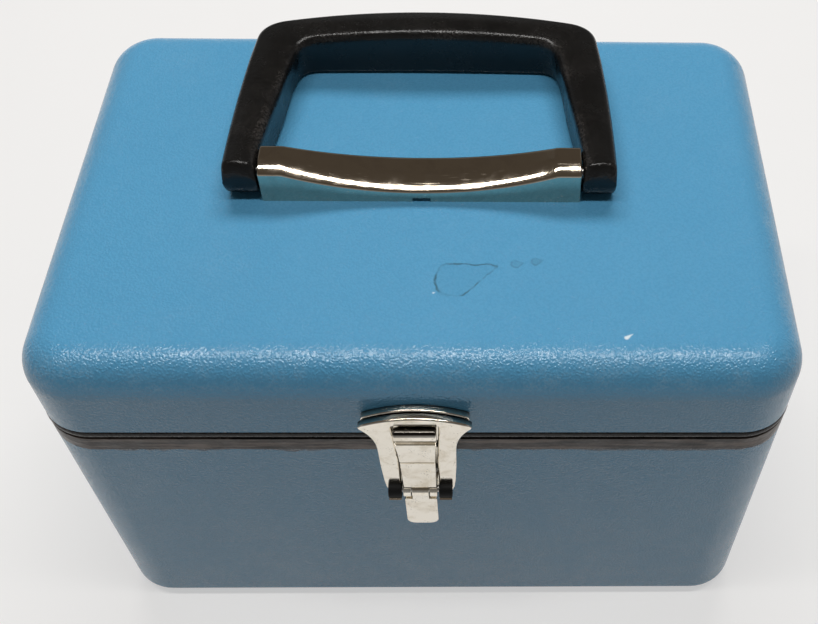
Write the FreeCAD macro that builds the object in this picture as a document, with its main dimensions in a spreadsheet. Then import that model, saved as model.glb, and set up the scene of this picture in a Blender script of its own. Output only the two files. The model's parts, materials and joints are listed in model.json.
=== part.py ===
import FreeCAD, Part
import math
import os
import re
import Sketcher

V = FreeCAD.Vector

# Driving sizes in millimetres. Drops and levels of the latch are measured from the seam, its backs
# and faces outwards from the front wall, and the handle's heights from the lid's top.
SIZES = {
    "box_width": 220.0, "box_depth": 148.4, "seam_height": 109.6, "lid_height": 31.6,
    "corner_radius": 16.0, "lid_edge_radius": 12.0, "base_edge_radius": 4.0, "inner_edge_radius": 3.0,
    "wall": 2.4, "floor_wall": 2.6, "parting_gap": 0.4,
    "foot_height": 2.5, "foot_radius": 8.0, "foot_inset": 26.0,
    "stem_radius": 2.5, "stem_clear": 0.05, "stem_head": 1.2, "stem_head_radius": 4.0,
    "base_rim_height": 5.6, "lid_rim_height": 3.6, "rim_band": 3.4, "rim_leg": 4.0, "rim_round": 1.3,
    "tongue_height": 4.5, "tongue_wall": 1.6, "tongue_clear": 0.4,
    "rivet_radius": 1.5, "rivet_head_radius": 2.3, "rivet_head": 0.9, "rivet_clear": 0.02,
    "rivet_room": 4.7, "rivet_edge": 0.3,
    "hinge_half_span": 65.0, "hinge_length": 40.0, "knuckle_radius": 2.6, "hinge_gap": 0.6,
    "hinge_pin_radius": 1.25, "pin_clear": 0.04, "knuckle_length": 12.0, "knuckle_gap": 0.3,
    "leaf_wall": 1.2, "leaf_margin": 1.1, "hinge_rivet_half": 12.0,
    "keeper_half": 15.2, "keeper_crown": 18.5, "keeper_side": 14.4, "keeper_low": 2.6, "keeper_wall": 2.2,
    "keeper_tail_half": 10.0, "keeper_tail_up": 8.0, "keeper_step": 12.6, "keeper_lip_half": 5.0,
    "keeper_lip_low": 7.6, "keeper_lip_wall": 2.2, "keeper_lip_reach": 1.6, "keeper_clear": 0.4,
    "shield_wall": 2.2, "shield_crown": 17.9, "shield_shoulder": 13.6, "shield_half": 15.9,
    "shield_waist": 11.5, "shield_waist_up": 2.0, "shield_leg": 10.7, "shield_lip": 0.6,
    "shield_cove": 1.2, "shield_cove_up": 0.4, "shield_step": 1.0, "slot_bend": 4.0, "slot_top_half": 6.6,
    "slot_half": 5.6, "window_top": 14.4, "shield_rivet_drop": 13.0, "shield_rivet_half": 3.1,
    "latch_pin_out": 4.9, "latch_pin_drop": 20.6, "latch_pin_radius": 1.1, "lever_knuckle_radius": 2.4,
    "bush_radius": 2.8, "bush_length": 4.0, "bush_clear": 0.02, "channel_clear": 0.5,
    "claw_gap": 1.0, "claw_nose": 6.4, "claw_side_clear": 0.5, "claw_wall": 1.5, "claw_bend": 3.0,
    "nose_wall": 3.0, "nose_round": 2.6, "lip_clear": 0.4, "claw_ease": 0.4, "part_clear": 0.3,
    "tab_length": 15.2, "tab_half": 4.9, "tab_wall": 1.5, "tab_ease": 0.8, "tab_corner": 2.4,
    "tab_knuckle_half": 2.5, "heel_up": 4.6, "heel_wall": 1.2,
    "spring_wall": 0.5, "spring_half": 3.0, "spring_clear": 0.35, "spring_inset": 2.8, "spring_short": 1.8,
    "spring_fold": 2.2,
    "pivot_back": -4.6, "pivot_up": 7.5, "arm_gap": 0.3, "arm_clear": 0.5, "arm_wall": 10.0,
    "arm_straight": 16.0, "bar_inner_half": 41.0, "bar_side": 13.5, "bar_inner": 47.5, "bar_wall": 12.5,
    "bar_bow": 3.0, "grip_rise": 2.0, "grip_swell": 2.3, "grip_corner": 8.0, "grip_inner_corner": 5.5,
    "grip_round": 2.6,
    "screw_half": 24.0, "screw_radius": 1.6, "screw_head_radius": 3.0, "screw_head": 1.8, "screw_clear": 0.1,
    "screw_tail": 0.8, "screw_room": 1.1, "plate_half": 36.0, "plate_deep": 14.0, "plate_wall": 1.2,
    "nut_flat": 2.9, "nut_height": 2.4, "nut_clear": 0.03,
    "stub_radius": 2.0, "stub_reach": 6.5, "stub_head_radius": 2.3, "stub_head": 1.5, "hole_clear": 0.6,
    "saddle_half": 48.0, "saddle_roof": 2.6, "saddle_mid_wall": 1.8, "saddle_flat": 7.0, "saddle_wall": 1.4,
    "saddle_round": 1.3, "saddle_slot_half": 2.75, "saddle_slot_height": 1.5, "pocket_clear": 2.2,
    "bracket_wall": 1.5, "bracket_clear": 0.4, "bracket_margin": 0.5, "ear_wall": 2.5,
}

# Sizes that follow from the ones above, so that pieces which fit together stay together.
TIED = {
    "lid_top": "seam_height + lid_height",
    "rivet_level": "lid_height - lid_edge_radius - rivet_head_radius - rivet_room",
    "hinge_offset": "knuckle_radius + hinge_gap",
    "leaf_gap": "knuckle_radius + hinge_gap",
    "leaf_height": "rivet_level + rivet_head_radius + leaf_margin - leaf_gap",
    "keeper_rivet_half": "keeper_tail_half - rivet_radius - rivet_edge",
    "keeper_lip_out": "keeper_wall + keeper_lip_reach",
    "keeper_lip_high": "keeper_lip_low + keeper_lip_wall",
    "shield_back": "keeper_wall + keeper_clear",
    "shield_face": "shield_back + shield_wall",
    "shield_drop": "latch_pin_drop + bush_radius + shield_lip",
    "channel_floor": "latch_pin_out - lever_knuckle_radius - channel_clear",
    "claw_top": "window_top - claw_gap",
    "claw_nose_low": "claw_top - claw_nose",
    "claw_top_half": "slot_top_half - claw_side_clear",
    "claw_half": "slot_half - claw_side_clear",
    "claw_back": "nose_in + claw_ease",
    "claw_foot": "latch_pin_drop - lever_knuckle_radius - 2 * part_clear",
    "nose_in": "keeper_lip_out + lip_clear",
    "nose_out": "nose_in + nose_wall",
    "tab_back": "claw_back + tab_ease",
    "tab_top": "latch_pin_drop + bush_radius + part_clear",
    "tab_end": "tab_top + tab_length",
    "heel_out": "claw_back - part_clear - heel_wall",
    "spring_top": "tab_top + spring_inset",
    "spring_end": "tab_end - spring_short",
    "spring_bend": "spring_end - spring_fold",
    "arm_radius": "pivot_up - arm_gap",
    "arm_inner": "saddle_half + arm_clear",
    "arm_half": "arm_inner + arm_wall",
    "bar_half": "bar_inner_half + bar_side",
    "bar_outer": "bar_inner + bar_wall",
    "grip_height": "pivot_up + arm_radius + grip_rise",
    "ear_height": "pivot_up + stub_head_radius + bracket_clear",
    "saddle_pocket_roof": "ear_height + bracket_clear",
    "saddle_height": "saddle_pocket_roof + saddle_roof",
    "saddle_mid_roof": "bracket_wall + screw_head + screw_room",
    "saddle_dip": "saddle_mid_roof + saddle_mid_wall",
    "saddle_deep": "2 * (screw_head_radius + bracket_margin + bracket_clear + saddle_wall)",
    "saddle_pocket": "saddle_half - saddle_wall - bracket_clear - ear_wall - stub_head - pocket_clear",
    "saddle_hole": "stub_radius + hole_clear",
}

doc = FreeCAD.newDocument("lunch_box")
sheet = doc.addObject("Spreadsheet::Sheet", "Sizes")
rows = list(SIZES.items()) + [(alias, "=" + rule) for alias, rule in TIED.items()]
for row, (alias, value) in enumerate(rows, start=1):
    sheet.set("A%d" % row, alias)
    sheet.set("B%d" % row, str(value))
    sheet.setAlias("B%d" % row, alias)
doc.recompute()
NAMES = re.compile(r"\b(" + "|".join(alias for alias, value in rows) + r")\b")

# Levels and places that several pieces share.
BASE_TOP = "(seam_height - parting_gap / 2)"
LID_LOW = "(seam_height + parting_gap / 2)"
BASE_EDGE = "(seam_height - base_rim_height)"
LID_EDGE = "(seam_height + lid_rim_height)"
FRONT = "(0 - box_depth / 2)"
REAR = "(box_depth / 2)"
TONGUE_OUT = "(rim_band + tongue_clear)"
TONGUE_IN = "(rim_band + tongue_clear + tongue_wall)"
PIVOT_Z = "(lid_top + pivot_up)"
HINGE_Y = "(box_depth / 2 + hinge_offset)"
LATCH_Y = "(0 - box_depth / 2 - latch_pin_out)"
LATCH_Z = "(seam_height - latch_pin_drop)"
ROOF_IN = "(lid_top - wall)"
# The part of a quarter round's radius between its corner and its middle.
BULGE = "(1 - sin(45 deg))"
SADDLE_FRONT = "(pivot_back - saddle_deep / 2)"


def q(text):
    """An expression over the sheet, from one over the plain names."""
    return NAMES.sub(r"Sizes.\1", str(text))


def num(text):
    """The present value of an expression."""
    return float(sheet.evalExpression(q(text).replace("Sizes.", "")))


def bind(obj, **links):
    """Tie properties of an object to expressions."""
    for prop, text in links.items():
        obj.setExpression(prop.replace("__", "."), q(text))
    return obj


def place(obj, at, turn=None):
    """Set an object's place by expressions, with an optional fixed turn."""
    if turn is not None:
        obj.Placement = FreeCAD.Placement(V(0, 0, 0), turn)
    for letter, text in zip("xyz", at):
        obj.setExpression("Placement.Base." + letter, q(text))
    return obj


def block(name, x0, x1, y0, y1, z0, z1):
    """A box between six expressions."""
    obj = doc.addObject("Part::Box", name)
    bind(obj, Length="(%s) - (%s)" % (x1, x0), Width="(%s) - (%s)" % (y1, y0))
    bind(obj, Height="(%s) - (%s)" % (z1, z0))
    return place(obj, (x0, y0, z0))


TURNS = {
    "X": FreeCAD.Rotation(V(0, 1, 0), 90),
    "Y": FreeCAD.Rotation(V(1, 0, 0), -90),
    "Z": FreeCAD.Rotation(),
}


def rod(name, axis, at, radius, length):
    """A cylinder that starts at a point and runs along one axis."""
    obj = doc.addObject("Part::Cylinder", name)
    bind(obj, Radius=radius, Height=length)
    return place(obj, at, TURNS[axis])


def cut(name, base, *tools):
    """A shape less one or more tools."""
    for count, tool in enumerate(tools):
        step = doc.addObject("Part::Cut", name if count == len(tools) - 1 else name + "_cut")
        step.Base = base
        step.Tool = tool
        base = step
    doc.recompute()
    return base


def fuse(name, *shapes):
    """The union of several shapes, with merged faces."""
    obj = doc.addObject("Part::MultiFuse", name)
    obj.Shapes = list(shapes)
    obj.Refine = True
    doc.recompute()
    return obj


def common(name, *shapes):
    """The space that all the shapes share."""
    obj = doc.addObject("Part::MultiCommon", name)
    obj.Shapes = list(shapes)
    doc.recompute()
    return obj


def group(name, *shapes):
    """Like pieces kept together as separate solids."""
    obj = doc.addObject("Part::Compound", name)
    obj.Links = list(shapes)
    doc.recompute()
    return obj


def rounded(name, base, radius, pick):
    """Round the edges of a shape that pick accepts."""
    doc.recompute()
    size = num(radius)
    obj = doc.addObject("Part::Fillet", name)
    obj.Base = base
    edges = enumerate(base.Shape.Edges, start=1)
    obj.Edges = [(index, size, size) for index, edge in edges if pick(edge)]
    doc.recompute()
    return obj


def upright(edge):
    """True for a straight edge along Z."""
    if not isinstance(edge.Curve, Part.Line):
        return False
    return abs(edge.Curve.Direction.z) > 0.999


def level(height):
    """A test for edges that lie at one height."""
    z = num(height)
    return lambda edge: abs(edge.BoundBox.ZMin - z) < 1e-4 and abs(edge.BoundBox.ZMax - z) < 1e-4


def tub(name, inset, low, high):
    """A block of the box's plan, drawn in by an inset, with round upright corners."""
    x, y = "(box_width / 2 - (%s))" % inset, "(box_depth / 2 - (%s))" % inset
    raw = block(name + "_raw", "0 - " + x, x, "0 - " + y, y, low, high)
    return rounded(name, raw, "corner_radius - (%s)" % inset, upright)


def ring(name, outer, inner, low, high):
    """A frame of the box's plan between two insets and two heights."""
    return cut(name, tub(name + "_out", outer, low, high), tub(name + "_in", inner, low, high))


def arc_between(first, middle, last):
    """A counter-clockwise arc through three points, and whether it starts at the first."""
    curve = Part.Arc(first, middle, last).toShape().Curve
    centre, radius = curve.Center, curve.Radius
    turn = (middle - first).cross(last - middle).z
    start, end = (first, last) if turn > 0 else (last, first)
    angles = [math.atan2(p.y - centre.y, p.x - centre.x) for p in (start, end)]
    if angles[1] < angles[0]:
        angles[1] += 2 * math.pi
    flat = Part.Circle(centre, V(0, 0, 1), radius)
    return Part.ArcOfCircle(flat, angles[0], angles[1]), turn > 0


def prism(name, role, points, length, at):
    """A padded outline on one of a body's own planes.

    Each point is (x, y) after a straight side, or (via x, via y, x, y) after an arc.
    """
    body = doc.addObject("PartDesign::Body", name)
    plane = [item for item in body.Origin.OriginFeatures if item.Role == role][0]
    sketch = body.newObject("Sketcher::SketchObject", name + "_outline")
    sketch.AttachmentSupport = [(plane, "")]
    sketch.MapMode = "FlatFace"
    spots = [V(num(p[-2]), num(p[-1]), 0) for p in points]
    joins = []
    for index, point in enumerate(points):
        first, last = spots[index - 1], spots[index]
        if len(point) == 2:
            joins.append((sketch.addGeometry(Part.LineSegment(first, last)), 1, 2))
        else:
            arc, forward = arc_between(first, V(num(point[0]), num(point[1]), 0), last)
            ends = (1, 2) if forward else (2, 1)
            joins.append((sketch.addGeometry(arc),) + ends)
    for index, (edge, start, end) in enumerate(joins):
        after = joins[(index + 1) % len(joins)]
        sketch.addConstraint(Sketcher.Constraint("Coincident", edge, end, after[0], after[1]))
        for kind, text, value in (("DistanceX", points[index][-2], spots[index].x),
                                  ("DistanceY", points[index][-1], spots[index].y)):
            rule = sketch.addConstraint(Sketcher.Constraint(kind, -1, 1, edge, end, value))
            sketch.setExpression("Constraints[%d]" % rule, q(text))
    pad = body.newObject("PartDesign::Pad", name + "_pad")
    pad.Profile = sketch
    bind(pad, Length=length)
    doc.recompute()
    return place(body, at)


def less(text):
    """The opposite of an expression."""
    return "0 - (%s)" % text


def both_sides(right):
    """A closed outline from its right side, listed from the top down."""
    outline = list(right)
    for index in range(len(right) - 1, -1, -1):
        after = right[index + 1] if index + 1 < len(right) else ()
        bend = (less(after[0]), after[1]) if len(after) == 4 else ()
        outline.append(bend + (less(right[index][-2]), right[index][-1]))
    return outline


def rivet(name, x, z, low, high, heads=2):
    """A rivet along Y between two planes, with a head past the second and, mostly, the first."""
    shank = rod(name + "_shank", "Y", (x, low, z), "rivet_radius", "(%s) - (%s)" % (high, low))
    ends = [rod(name + "_tail", "Y", (x, high, z), "rivet_head_radius", "rivet_head")]
    if heads == 2:
        out = "(%s) - rivet_head" % low
        ends.append(rod(name + "_head", "Y", (x, out, z), "rivet_head_radius", "rivet_head"))
    return fuse(name, shank, *ends)


def rivet_hole(name, x, z, low, high):
    """The hole that a rivet passes through."""
    return rod(name, "Y", (x, low, z), "rivet_radius + rivet_clear", "(%s) - (%s)" % (high, low))


SIDES = (("left", "0 - "), ("right", ""))
CORNERS = [(a + b, x, y) for a, x in (("l", "0 - "), ("r", "")) for b, y in (("f", "0 - "), ("b", ""))]
nodes = {}

# Feet: four pressed glides with a stem through the floor.
feet = []
foot_holes = []
for tag, sx, sy in CORNERS:
    spot = (sx + "(box_width / 2 - foot_inset)", sy + "(box_depth / 2 - foot_inset)")
    pad = rod("foot_pad_" + tag, "Z", spot + ("0",), "foot_radius", "foot_height")
    stem = rod("foot_stem_" + tag, "Z", spot + ("0",), "stem_radius - stem_clear",
               "foot_height + floor_wall")
    head = rod("foot_head_" + tag, "Z", spot + ("foot_height + floor_wall",), "stem_head_radius", "stem_head")
    feet.append(fuse("foot_" + tag, pad, stem, head))
    foot_holes.append(rod("foot_hole_" + tag, "Z", spot + ("0",), "stem_radius",
                          "foot_height * 2 + floor_wall"))
nodes["feet"] = group("feet", *feet)

# Places of the rivets through the walls: x, z, the outer plane and the inner plane.
shield_rivets = []
keeper_rivets = []
hinge_rivets = {"base": [], "lid": []}
for side, sx in SIDES:
    shield_rivets.append(("shield_" + side, sx + "shield_rivet_half", "seam_height - shield_rivet_drop",
                          FRONT + " - channel_floor", FRONT + " + wall"))
    keeper_rivets.append(("keeper_" + side, sx + "keeper_rivet_half", "seam_height + rivet_level",
                          FRONT + " - keeper_wall", FRONT + " + wall"))
    for end, along in (("a", " - hinge_rivet_half"), ("b", " + hinge_rivet_half")):
        for part, drop in (("base", " - rivet_level"), ("lid", " + rivet_level")):
            hinge_rivets[part].append(("hinge_%s_%s_%s" % (part, side, end),
                                       sx + "hinge_half_span" + along, "seam_height" + drop,
                                       REAR + " - wall", REAR + " + leaf_wall"))


def holes_for(rivets, tag):
    """One hole per rivet, through everything that it joins."""
    return [rivet_hole("%s_hole_%s" % (name, tag), x, z, low, high) for name, x, z, low, high in rivets]


# Base shell: a deep tub with a rounded bottom edge.
base_out = rounded("base_out_round", tub("base_out", "0", "foot_height", BASE_EDGE),
                   "base_edge_radius", level("foot_height"))
base_in = tub("base_in", "wall", "foot_height + floor_wall", BASE_EDGE + " + wall")
base_in = rounded("base_in_round", base_in, "inner_edge_radius", level("foot_height + floor_wall"))
base_holes = foot_holes + holes_for(shield_rivets, "base") + holes_for(hinge_rivets["base"], "base")
nodes["base_shell"] = cut("base_shell", base_out, base_in, fuse("base_holes", *base_holes))

# Base rim: a flat band on the tub's edge, an inner leg and a tongue that centres the lid.
nodes["base_rim"] = fuse(
    "base_rim",
    ring("base_rim_band", "0", "rim_band", BASE_EDGE, BASE_TOP),
    ring("base_rim_flange", "0", TONGUE_IN, BASE_TOP + " - tongue_wall", BASE_TOP),
    ring("base_rim_tongue", TONGUE_OUT, TONGUE_IN, BASE_TOP + " - tongue_wall",
         BASE_TOP + " + tongue_height"),
    ring("base_rim_leg", "wall", "rim_band", BASE_EDGE + " - rim_leg", BASE_TOP))

# Lid shell: a shallow cap with broadly rounded top edges.
lid_out = tub("lid_out", "0", LID_EDGE, "lid_top")
lid_out = rounded("lid_out_round", lid_out, "lid_edge_radius", level("lid_top"))
lid_in = rounded("lid_in_round", tub("lid_in", "wall", LID_EDGE + " - wall", ROOF_IN),
                 "lid_edge_radius - wall", level(ROOF_IN))
screw_holes = []
for side, sx in SIDES:
    spot = (sx + "screw_half", "pivot_back", ROOF_IN + " - wall")
    screw_holes.append(rod("screw_hole_" + side, "Z", spot, "screw_radius + screw_clear", "3 * wall"))
lid_holes = screw_holes + holes_for(keeper_rivets, "lid") + holes_for(hinge_rivets["lid"], "lid")
nodes["lid_shell"] = cut("lid_shell", lid_out, lid_in, fuse("lid_holes", *lid_holes))

# Lid rim: a half-round bead under the cap's edge, with an inner leg.
bead = tub("lid_rim_out", "0", LID_LOW, LID_EDGE)
low_edge, high_edge = level(LID_LOW), level(LID_EDGE)
bead = rounded("lid_rim_bead", bead, "rim_round", lambda e: low_edge(e) or high_edge(e))
bead = cut("lid_rim_band", bead, tub("lid_rim_in", "rim_band", LID_LOW + " - wall", LID_EDGE + " + wall"))
nodes["lid_rim"] = fuse("lid_rim", bead, ring("lid_rim_leg", "wall", "rim_band", LID_LOW + " + rim_round",
                                              LID_EDGE + " + rim_leg"))


# Hinges: two butt hinges on the rear wall, each with two base knuckles and one lid knuckle.
def leaf(name, centre, part):
    """One leaf of a butt hinge: plate, webs and knuckles with the pin's hole."""
    up = part == "lid"
    ends = "hinge_length / 2"
    inner = "(hinge_length / 2 - knuckle_length)"
    spans = [(less(inner) + " + knuckle_gap", inner + " - knuckle_gap")]
    if not up:
        spans = [(less(ends), less(inner)), (inner, ends)]
    rise = ("leaf_gap", "leaf_gap + leaf_height") if up else ("0 - leaf_gap - leaf_height", "0 - leaf_gap")
    web = ("0", "leaf_gap") if up else ("0 - leaf_gap", "0")
    pieces = [block(name + "_plate", centre + " - " + ends, centre + " + " + ends, REAR,
                    REAR + " + leaf_wall", "seam_height + (%s)" % rise[0], "seam_height + (%s)" % rise[1])]
    for index, (low, high) in enumerate(spans):
        low, high = "%s + (%s)" % (centre, low), "%s + (%s)" % (centre, high)
        pieces.append(block("%s_web_%d" % (name, index), low, high, REAR, REAR + " + leaf_wall",
                            "seam_height + (%s)" % web[0], "seam_height + (%s)" % web[1]))
        pieces.append(rod("%s_knuckle_%d" % (name, index), "X", (low, HINGE_Y, "seam_height"),
                          "knuckle_radius", "(%s) - (%s)" % (high, low)))
    bore = rod(name + "_bore", "X", (centre + " - hinge_length", HINGE_Y, "seam_height"),
               "hinge_pin_radius + pin_clear", "2 * hinge_length")
    own = [r for r in hinge_rivets[part] if name.rsplit("_", 1)[1] in r[0]]
    return cut(name, fuse(name + "_solid", *pieces), bore, fuse(name + "_holes", *holes_for(own, "leaf")))


for side, sx in SIDES:
    centre = sx + "hinge_half_span"
    for part in ("base", "lid"):
        name = "hinge_leaf_%s_%s" % (part, side)
        nodes[name] = leaf(name, centre, part)
    nodes["hinge_pin_" + side] = rod("hinge_pin_" + side, "X",
                                     (centre + " - hinge_length / 2", HINGE_Y, "seam_height"),
                                     "hinge_pin_radius", "hinge_length")
for part in ("base", "lid"):
    own = [rivet(*spot) for spot in hinge_rivets[part]]
    nodes["hinge_rivets_" + part] = group("hinge_rivets_" + part, *own)

# Latch shield: a cast plate on the base that reaches up in front of the lid.
shield_right = [
    ("0", "shield_crown", "shield_half", "shield_shoulder"),
    ("(shield_half + shield_waist) / 2 - shield_cove",
     "(shield_shoulder + shield_waist_up) / 2 - shield_cove_up", "shield_waist", "shield_waist_up"),
    ("shield_leg", "0 - shield_drop"),
]
shield = prism("shield_plate", "XZ_Plane", both_sides(shield_right), "shield_face",
               ("0", FRONT, "seam_height"))
slot_right = [
    ("slot_top_half", "window_top"),
    ("slot_half", "0 - slot_bend"),
    ("slot_half", "0 - shield_drop * 2"),
]
slot = prism("shield_slot", "XZ_Plane", both_sides(slot_right), "shield_face",
             ("0", FRONT + " - channel_floor", "seam_height"))
relief = block("shield_relief", "0 - 2 * shield_half", "2 * shield_half", FRONT + " - shield_back",
               FRONT + " + wall", "seam_height - shield_step", "seam_height + 2 * shield_crown")
pin_run = "2 * (slot_half + bush_length)"
pin_start = ("0 - slot_half - bush_length", LATCH_Y, LATCH_Z)
bushes = []
bush_seats = []
for side, start in (("left", "0 - slot_half - bush_length"), ("right", "slot_half")):
    at = (start, LATCH_Y, LATCH_Z)
    body = rod("bush_body_" + side, "X", at, "bush_radius", "bush_length")
    bore = rod("bush_bore_" + side, "X", pin_start, "latch_pin_radius + pin_clear", pin_run)
    bushes.append(cut("bush_" + side, body, bore))
    bush_seats.append(rod("bush_seat_" + side, "X", at, "bush_radius + bush_clear", "bush_length"))
nodes["latch_shield"] = cut("latch_shield", shield, relief, slot, fuse("bush_seats", *bush_seats),
                            fuse("shield_holes", *holes_for(shield_rivets, "shield")))
nodes["latch_bushes"] = group("latch_bushes", *bushes)
nodes["latch_pin"] = rod("latch_pin", "X", pin_start, "latch_pin_radius", pin_run)
nodes["latch_rivets"] = group("latch_rivets", *[rivet(*r) for r in shield_rivets])

# Latch keeper: an arched plate on the lid with a lip in the shield's window.
keeper_right = [
    ("0", "keeper_crown", "keeper_half", "keeper_side"),
    ("keeper_half", "keeper_step"),
    ("keeper_tail_half", "keeper_tail_up"),
    ("keeper_tail_half", "keeper_low"),
]
keeper = prism("keeper_plate", "XZ_Plane", both_sides(keeper_right), "keeper_wall",
               ("0", FRONT, "seam_height"))
lip = block("keeper_lip", "0 - keeper_lip_half", "keeper_lip_half", FRONT + " - keeper_lip_out", FRONT,
            "seam_height + keeper_lip_low", "seam_height + keeper_lip_high")
nodes["latch_keeper"] = cut("latch_keeper", fuse("keeper_solid", keeper, lip),
                            fuse("keeper_holes", *holes_for(keeper_rivets, "keeper")))
nodes["keeper_rivets"] = group("keeper_rivets", *[rivet(*r, heads=1) for r in keeper_rivets])

# Latch claw: the upper half of the rocker, with a rounded nose in the shield's window.
claw_front = "(claw_back + claw_wall)"
claw_side = [
    (less("claw_back"), "0 - claw_foot"),
    (less("claw_back"), "claw_nose_low"),
    (less("nose_in"), "claw_nose_low"),
    (less("nose_in"), "claw_top"),
    (less("nose_out - nose_round"), "claw_top"),
    (less("nose_out - nose_round * " + BULGE), "claw_top - nose_round * " + BULGE,
     less("nose_out"), "claw_top - nose_round"),
    (less("nose_out"), "claw_nose_low"),
    (less(claw_front), "claw_nose_low - claw_bend"),
    (less(claw_front), "0 - claw_foot"),
]
claw_long = prism("claw_side", "YZ_Plane", claw_side, "2 * claw_top_half",
                  ("0 - claw_top_half", FRONT, "seam_height"))
claw_right = [
    ("claw_top_half", "claw_top * 2"),
    ("claw_top_half", "claw_top"),
    ("claw_half", "0 - slot_bend"),
    ("claw_half", "0 - claw_foot * 2"),
]
claw_wide = prism("claw_face", "XZ_Plane", both_sides(claw_right), "nose_out * 2",
                  ("0", FRONT, "seam_height"))
claw_parts = [common("claw_plate", claw_long, claw_wide)]
for side, start in (("left", "0 - claw_half"), ("right", "tab_knuckle_half + part_clear")):
    run = "(claw_half - tab_knuckle_half - part_clear)"
    claw_parts.append(rod("claw_knuckle_" + side, "X", (start, LATCH_Y, LATCH_Z),
                          "lever_knuckle_radius", run))
    claw_parts.append(block("claw_leg_" + side, start, start + " + " + run, FRONT + " - " + claw_front,
                            FRONT + " - claw_back", LATCH_Z, "seam_height - claw_foot"))
lever_bore = rod("claw_bore", "X", pin_start, "latch_pin_radius + pin_clear", pin_run)
nodes["latch_claw"] = cut("latch_claw", fuse("claw_solid", *claw_parts), lever_bore)

# Latch tab: the lower half of the rocker, pressed to swing the claw out.
tab_plate = block("tab_plate", "0 - tab_half", "tab_half", FRONT + " - tab_back - tab_wall",
                  FRONT + " - tab_back", "seam_height - tab_end", "seam_height - tab_top")
tab_foot = num("seam_height - tab_end")
tab_plate = rounded("tab_plate_round", tab_plate, "tab_corner", lambda e: e.BoundBox.YLength > 0.1
                    and e.BoundBox.ZMax < tab_foot + 0.1 and e.BoundBox.XLength < 0.1)
tab_knuckle = rod("tab_knuckle", "X", ("0 - tab_knuckle_half", LATCH_Y, LATCH_Z), "lever_knuckle_radius",
                  "2 * tab_knuckle_half")
tab_web = block("tab_web", "0 - tab_knuckle_half", "tab_knuckle_half", FRONT + " - tab_back - tab_wall",
                FRONT + " - tab_back", "seam_height - tab_top", LATCH_Z)
tab_heel = block("tab_heel", "0 - tab_knuckle_half", "tab_knuckle_half", FRONT + " - heel_out - heel_wall",
                 FRONT + " - heel_out", LATCH_Z, LATCH_Z + " + heel_up")
tab_bore = rod("tab_bore", "X", pin_start, "latch_pin_radius + pin_clear", pin_run)
tab_solid = fuse("tab_solid", tab_plate, tab_knuckle, tab_web, tab_heel)
nodes["latch_tab"] = cut("latch_tab", tab_solid, tab_bore)

# Latch spring: a folded leaf between the tab's back and the wall.
leaf_back = "(tab_back - spring_wall)"
spring_points = [
    (less("tab_back"), "0 - spring_top"),
    (less("tab_back"), "0 - spring_end"),
    (less("spring_clear"), "0 - spring_top"),
    (less("spring_clear + spring_wall"), "0 - spring_top"),
    (less(leaf_back), "0 - spring_bend"),
    (less(leaf_back), "0 - spring_top"),
]
nodes["latch_spring"] = prism("latch_spring", "YZ_Plane", spring_points, "2 * spring_half",
                              ("0 - spring_half", FRONT, "seam_height"))

# Handle saddle: a plated cover with a dished top between the handle's arms.
dish = "(saddle_half - saddle_flat)"
saddle_right = [
    ("0", "saddle_dip", dish, "saddle_height"),
    ("saddle_half", "saddle_height"),
    ("saddle_half", "0"),
]
saddle = prism("saddle_block", "XZ_Plane", both_sides(saddle_right), "saddle_deep",
               ("0", "pivot_back + saddle_deep / 2", "lid_top"))
doc.recompute()
saddle_low = num("lid_top + saddle_dip") - 0.1
saddle = rounded("saddle_round_block", saddle, "saddle_round",
                 lambda e: e.BoundBox.YLength < 0.01 and e.BoundBox.ZMin > saddle_low
                 and e.BoundBox.XLength > 1)
in_y = ("pivot_back - saddle_deep / 2 + saddle_wall", "pivot_back + saddle_deep / 2 - saddle_wall")
in_x = "(saddle_half - saddle_wall)"
hollow = block("saddle_hollow", less(in_x), in_x, in_y[0], in_y[1], "lid_top - wall",
               "lid_top + saddle_mid_roof")
saddle_tools = [hollow]
for side, start, end in (("left", less(in_x), "0 - saddle_pocket"), ("right", "saddle_pocket", in_x)):
    saddle_tools.append(block("saddle_pocket_" + side, start, end, in_y[0], in_y[1], "lid_top - wall",
                              "lid_top + saddle_pocket_roof"))
    hole_at = ("0 - saddle_half * 2" if side == "left" else "saddle_pocket", "pivot_back", PIVOT_Z)
    saddle_tools.append(rod("saddle_bore_" + side, "X", hole_at, "saddle_hole",
                            "saddle_half * 2 - saddle_pocket"))
saddle_tools.append(block("saddle_slot", "0 - saddle_slot_half", "saddle_slot_half", SADDLE_FRONT + " - wall",
                          in_y[0] + " + wall", "lid_top - wall", "lid_top + saddle_slot_height"))
nodes["handle_saddle"] = cut("handle_saddle", saddle, fuse("saddle_tools", *saddle_tools))

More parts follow.
